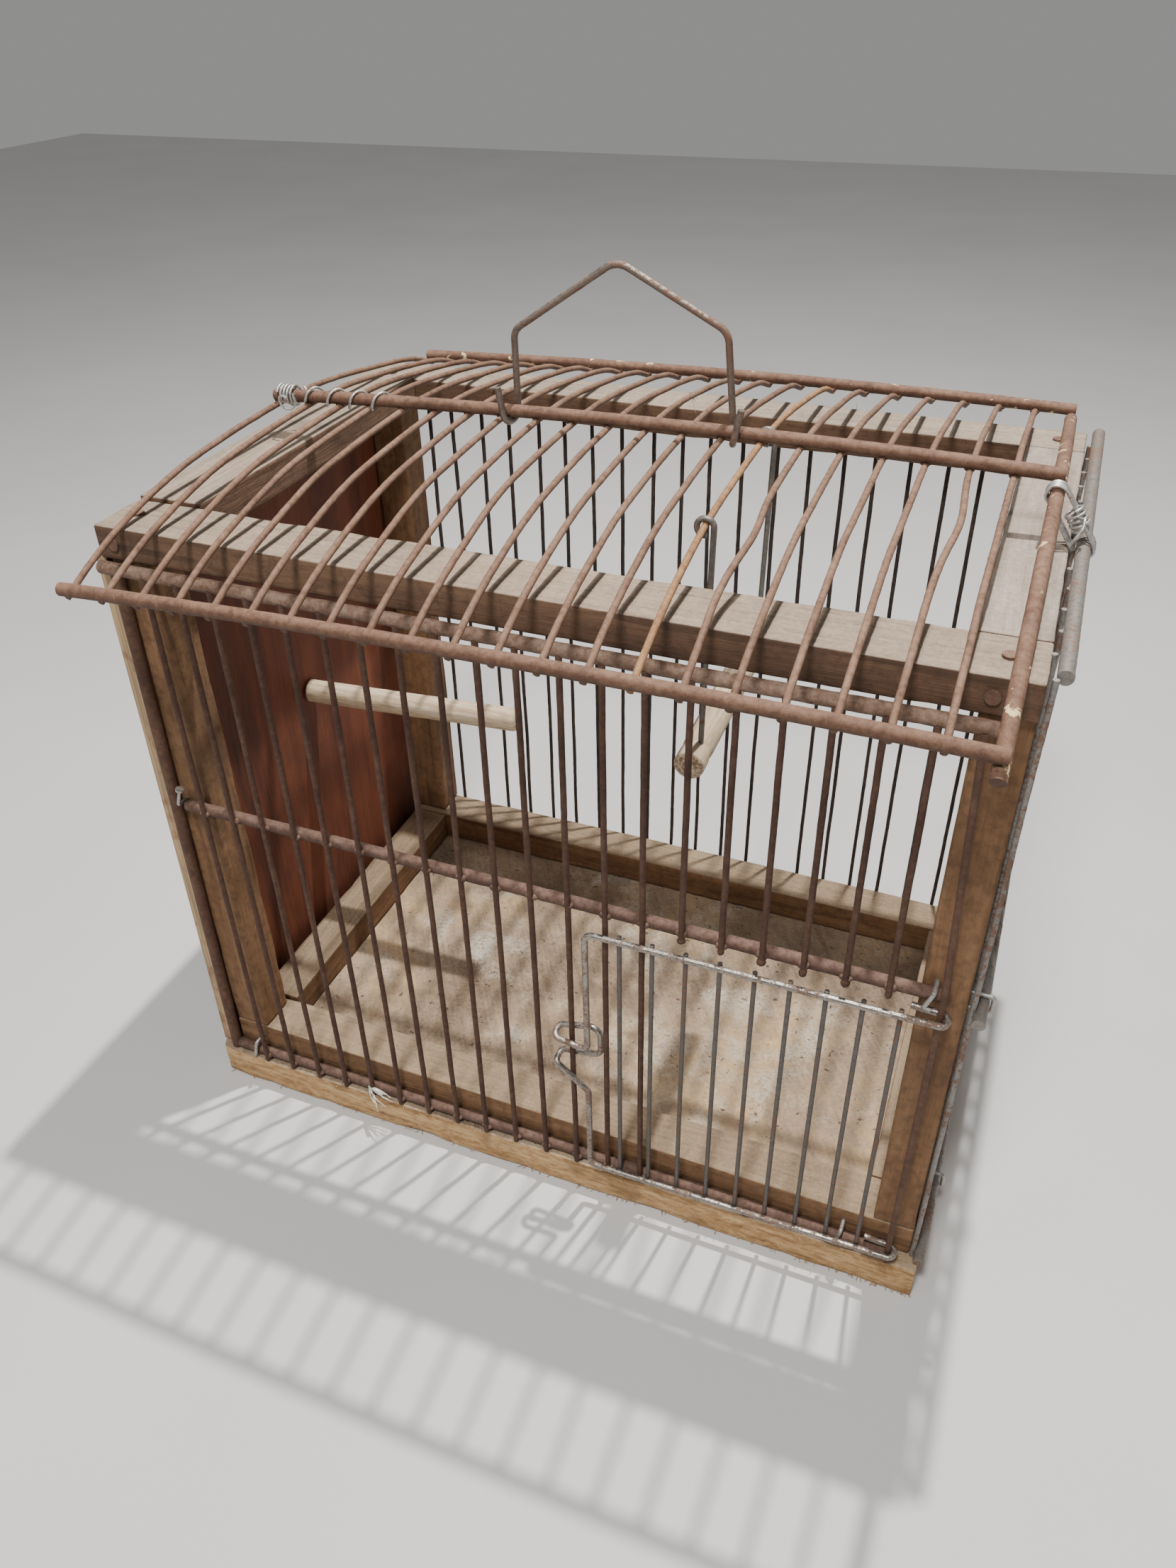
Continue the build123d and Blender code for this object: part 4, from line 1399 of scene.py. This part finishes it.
@dataclass
class Wisps:
    """Fibres and down caught on the wires."""

    shop: Workshop
    finish: Material
    steps: int = 12

    def tuft(
        self, root: Vector, way: Point, count: int, length: float, seed: int, curling: float = 1.0
    ) -> list[list[Point]]:
        """Curling fibres from one root.

        Args:
            root: Where they are caught.
            way: The way that they hang.
            count: How many there are.
            length: Their usual length.
            seed: The seed of their curl.
            curling: How much they curl.

        Returns:
            One polyline for each fibre.
        """
        draw = random.Random(seed)

        def about(spread: float) -> Vector:
            """A random vector about nought."""
            return Vector([draw.uniform(-1, 1) * spread for _ in range(3)])

        fibres = []
        for _ in range(count):
            point = root + about(0.8 * MM)
            heading = (Vector(way) + about(0.5)).normalized()
            curl = about(0.25) * curling
            line = [tuple(point)]
            reach = length * draw.uniform(0.5, 1.15)
            for _ in range(self.steps):
                point = point + heading * reach / self.steps
                heading = (heading + curl * 0.5).normalized()
                line.append(tuple(point))
            fibres.append(line)
        return fibres

    def build(self) -> None:
        """Make the tufts."""
        rod = Box("front_grille_bottom_rod")
        crest_x = Box("front_wires_long").low.x + 83 * MM
        crest = Vector((crest_x, rod.low.y - 1.5 * MM, rod.high.z - 0.5 * MM))
        quills = self.tuft(crest, (0.9, -0.35, -0.25), 9, 19 * MM, 4, 0.3)
        quills += self.tuft(crest + Vector((2, 0, 1)) * MM, (1.4, -0.1, 0.0), 4, 14 * MM, 9, 0.3)
        quills = [[p for p in line if p[2] > 25 * MM or p[1] < -156.5 * MM] for line in quills]
        self.shop.grow(
            "caught_quills", "sheath", self.finish, "dowel_wood", points=[q for q in quills if len(q) > 2],
            Radius=0.38 * MM, Step=1.5 * MM, Sway=0.2 * MM, Lumps=0.1 * MM, Sides=5, Seed=0.0,
        )
        fibres = self.tuft(Vector((0.012, 0.083, 0.4290)), (0.2, -0.3, -0.8), 6, 9 * MM, 22)
        fibres += self.tuft(Vector((0.098, 0.148, 0.4135)), (0.2, -0.3, -0.8), 5, 9 * MM, 23)
        back = Box("roof_back_rod").high.y
        keep = [line for line in fibres if all(p[1] < back for p in line)]
        self.shop.grow(
            "caught_fibres", "sheath", self.finish, "dowel_wood", points=keep,
            Radius=0.12 * MM, Step=1.5 * MM, Sway=0.2 * MM, Lumps=0.0, Sides=4, Seed=0.0,
        )


@dataclass
class Fittings:
    """The CAD pieces whose shape is kept: door, handle, swing, nails and staples."""

    shop: Workshop

    def build(self) -> None:
        """Paint them."""
        door = PlatedFinish("door_frame_plating", (0.40, 0.37, 0.33), (0.13, 0.11, 0.095), 0.5, 0.9, 0.3)
        bars = PlatedFinish("door_bar_plating", (0.125, 0.115, 0.105), (0.055, 0.048, 0.042), 0.3, 0.5)
        bail = PlatedFinish("bail_wire", (0.25, 0.21, 0.18), (0.12, 0.09, 0.07), 0.45, 0.7, 0.4)
        hanger = PlatedFinish("hanger_steel", (0.19, 0.175, 0.155), (0.09, 0.08, 0.07), 0.2, 0.6)
        zinc = PlatedFinish("zinc_coat", silver=(0.46, 0.45, 0.42), rusted=0.3)
        nail = RustFinish("old_nail", body=(0.12, 0.06, 0.035), pale=(0.2, 0.12, 0.08))
        hinge = RustFinish("hinge_wire_rust", (0.035, 0.016, 0.009), (0.09, 0.04, 0.022), (0.16, 0.085, 0.05))
        for finish, *nodes in (
            (door, "door_frame_wire"),
            (bars, "door_bars"),
            (bail, "handle"),
            (hanger, "swing_hanger_front", "swing_hanger_back"),
            (zinc, "front_clips", "right_staples", "back_staples", "perch_screw"),
            (nail, "top_nails", "corner_nails", "panel_nails"),
            (hinge, "hinge_wire", "front_grille_left_rod"),
        ):
            material = finish.dress()
            for node in nodes:
                self.shop.paint(node, material)


# ---- Studio ----


@dataclass
class Studio:
    """Camera, lights and floor."""

    eye: Point = (0.2133, -0.5726, 0.6435)
    turn: Point = (0.9317, 0.1964, 0.3421)
    lens: float = 35.89
    sensor: float = 36.0
    aim: Point = (0.0, 0.0, 0.2)
    sky: Colour = (0.97, 0.96, 0.95)
    sky_strength: float = 0.30
    floor_reach: float = 4.0

    def place(self, name: str, data: bpy.types.ID, spot: Point) -> bpy.types.Object:
        """Put a camera or a light in the scene."""
        item = bpy.data.objects.new(name, data)
        item.location = spot
        bpy.context.scene.collection.objects.link(item)
        return item

    def camera(self) -> None:
        """Place the camera."""
        data = bpy.data.cameras.new("camera")
        data.sensor_fit = "HORIZONTAL"
        data.sensor_width = self.sensor
        data.lens = self.lens
        data.clip_start = 0.02
        camera = self.place("camera", data, self.eye)
        axis = Vector(self.turn)
        camera.rotation_mode = "QUATERNION"
        camera.rotation_quaternion = Quaternion(axis.normalized(), axis.length)
        bpy.context.scene.camera = camera

    def light(self, name: str, spot: Point, power: float, size: float, colour: Colour) -> None:
        """Add one soft area light aimed at the cage.

        Args:
            name: The light's name.
            spot: Its place.
            power: Its power in watts.
            size: Its diameter.
            colour: Its colour.
        """
        data = bpy.data.lights.new(name, "AREA")
        data.shape = "DISK"
        data.size = size
        data.energy = power
        data.color = colour
        aim = Vector(self.aim) - Vector(spot)
        self.place(name, data, spot).rotation_euler = aim.to_track_quat("-Z", "Y").to_euler()

    def build(self, shop: Workshop) -> None:
        """Set up the studio."""
        self.camera()
        self.light("ceiling", (0.16, 0.30, 1.90), 46.0, 0.04, (1.0, 0.98, 0.95))
        self.light("second", (0.10, -0.85, 1.65), 22.0, 0.30, (1.0, 0.98, 0.96))
        self.light("window", (-1.3, -1.2, 1.2), 5.0, 1.2, (0.96, 0.98, 1.0))
        world = bpy.data.worlds.new("studio")
        world.use_nodes = True
        back = world.node_tree.nodes["Background"]
        back.inputs[0].default_value = (*self.sky, 1.0)
        back.inputs[1].default_value = self.sky_strength
        bpy.context.scene.world = world
        mesh = bpy.data.meshes.new("studio_floor")
        far = self.floor_reach
        mesh.from_pydata([(-far, -far, 0), (far, -far, 0), (far, far, 0), (-far, far, 0)], [], [(0, 1, 2, 3)])
        finish = PlainFinish(
            "studio_floor", pale=(0.64, 0.635, 0.625), dull=(0.60, 0.595, 0.585), scale=3.0, spread=0.2,
            rough=0.75, fine=500.0,
        )
        mesh.materials.append(finish.dress())
        shop.link("studio_floor", mesh)


def rack_finishes() -> dict[str, Material]:
    """The materials of the wire racks, by key."""
    finishes = {
        "roof_rod": RustFinish("roof_rod_rust", flakes=0.25),
        "flaked_rod": RustFinish("roof_rod_old_paint", flakes=0.6),
        "roof_wire": RustFinish("roof_wire_rust", body=(0.138, 0.069, 0.039), pale=(0.225, 0.134, 0.086)),
        "ochre_wire": RustFinish(
            "swing_wire_ochre", (0.11, 0.045, 0.02), (0.215, 0.105, 0.045), (0.36, 0.20, 0.085)
        ),
        # The front top rod's rust is painted paler than the other rods': painted light, a lit copy of the rod
        # rust.
        "dusty_rod": RustFinish(
            "front_top_rod_dirt", body=(0.150, 0.083, 0.052), pale=(0.30, 0.20, 0.145), flakes=0.2
        ),
        "dark_rod": RustFinish(
            "grille_rod_rust", (0.035, 0.015, 0.009), (0.085, 0.041, 0.026), (0.165, 0.098, 0.070)
        ),
        "dark_wire": RustFinish(
            "grille_wire_rust", (0.024, 0.010, 0.006), (0.066, 0.027, 0.014), (0.125, 0.062, 0.037)
        ),
        "black_wire": RustFinish(
            "back_wire_rust", (0.010, 0.007, 0.006), (0.030, 0.020, 0.016), (0.08, 0.05, 0.035), dust=0.15
        ),
        "grey_wire": PlatedFinish(
            "right_wire_plating", (0.30, 0.285, 0.265), (0.12, 0.105, 0.09), metal=0.5, rough=0.55
        ),
        "grey_rod": PlatedFinish(
            "right_rod_plating", (0.25, 0.23, 0.205), (0.13, 0.115, 0.10), metal=0.5, rough=0.5, rusted=0.35
        ),
    }
    return {key: finish.dress() for key, finish in finishes.items()}


def main() -> None:
    """Build the looks, piece by piece."""
    logging.basicConfig(level=logging.INFO, format="%(name)s: %(message)s")
    shop = Workshop()
    Studio().build(shop)
    Frame().build(shop)
    finishes = rack_finishes()
    for rack in (FrontGrille, BackGrille, RightGrille, Roof):
        rack(shop, finishes).build()
    zinc = PlatedFinish("tie_wire_zinc", silver=(0.62, 0.61, 0.58), rusted=0.1, rough=0.35)
    TieWires(shop, zinc.dress()).build()
    Wisps(shop, PlainFinish("caught_fibre").dress()).build()
    Splinters(shop, PlainFinish("board_fibre", (0.55, 0.38, 0.2), (0.34, 0.2, 0.09)).dress()).build()
    for dowel in DOWELS:
        dowel.build(shop)
    Fittings(shop).build()
    LOG.info("%d pieces made", shop.made)
    bpy.context.view_layer.update()


if __name__ == "__main__":
    main()
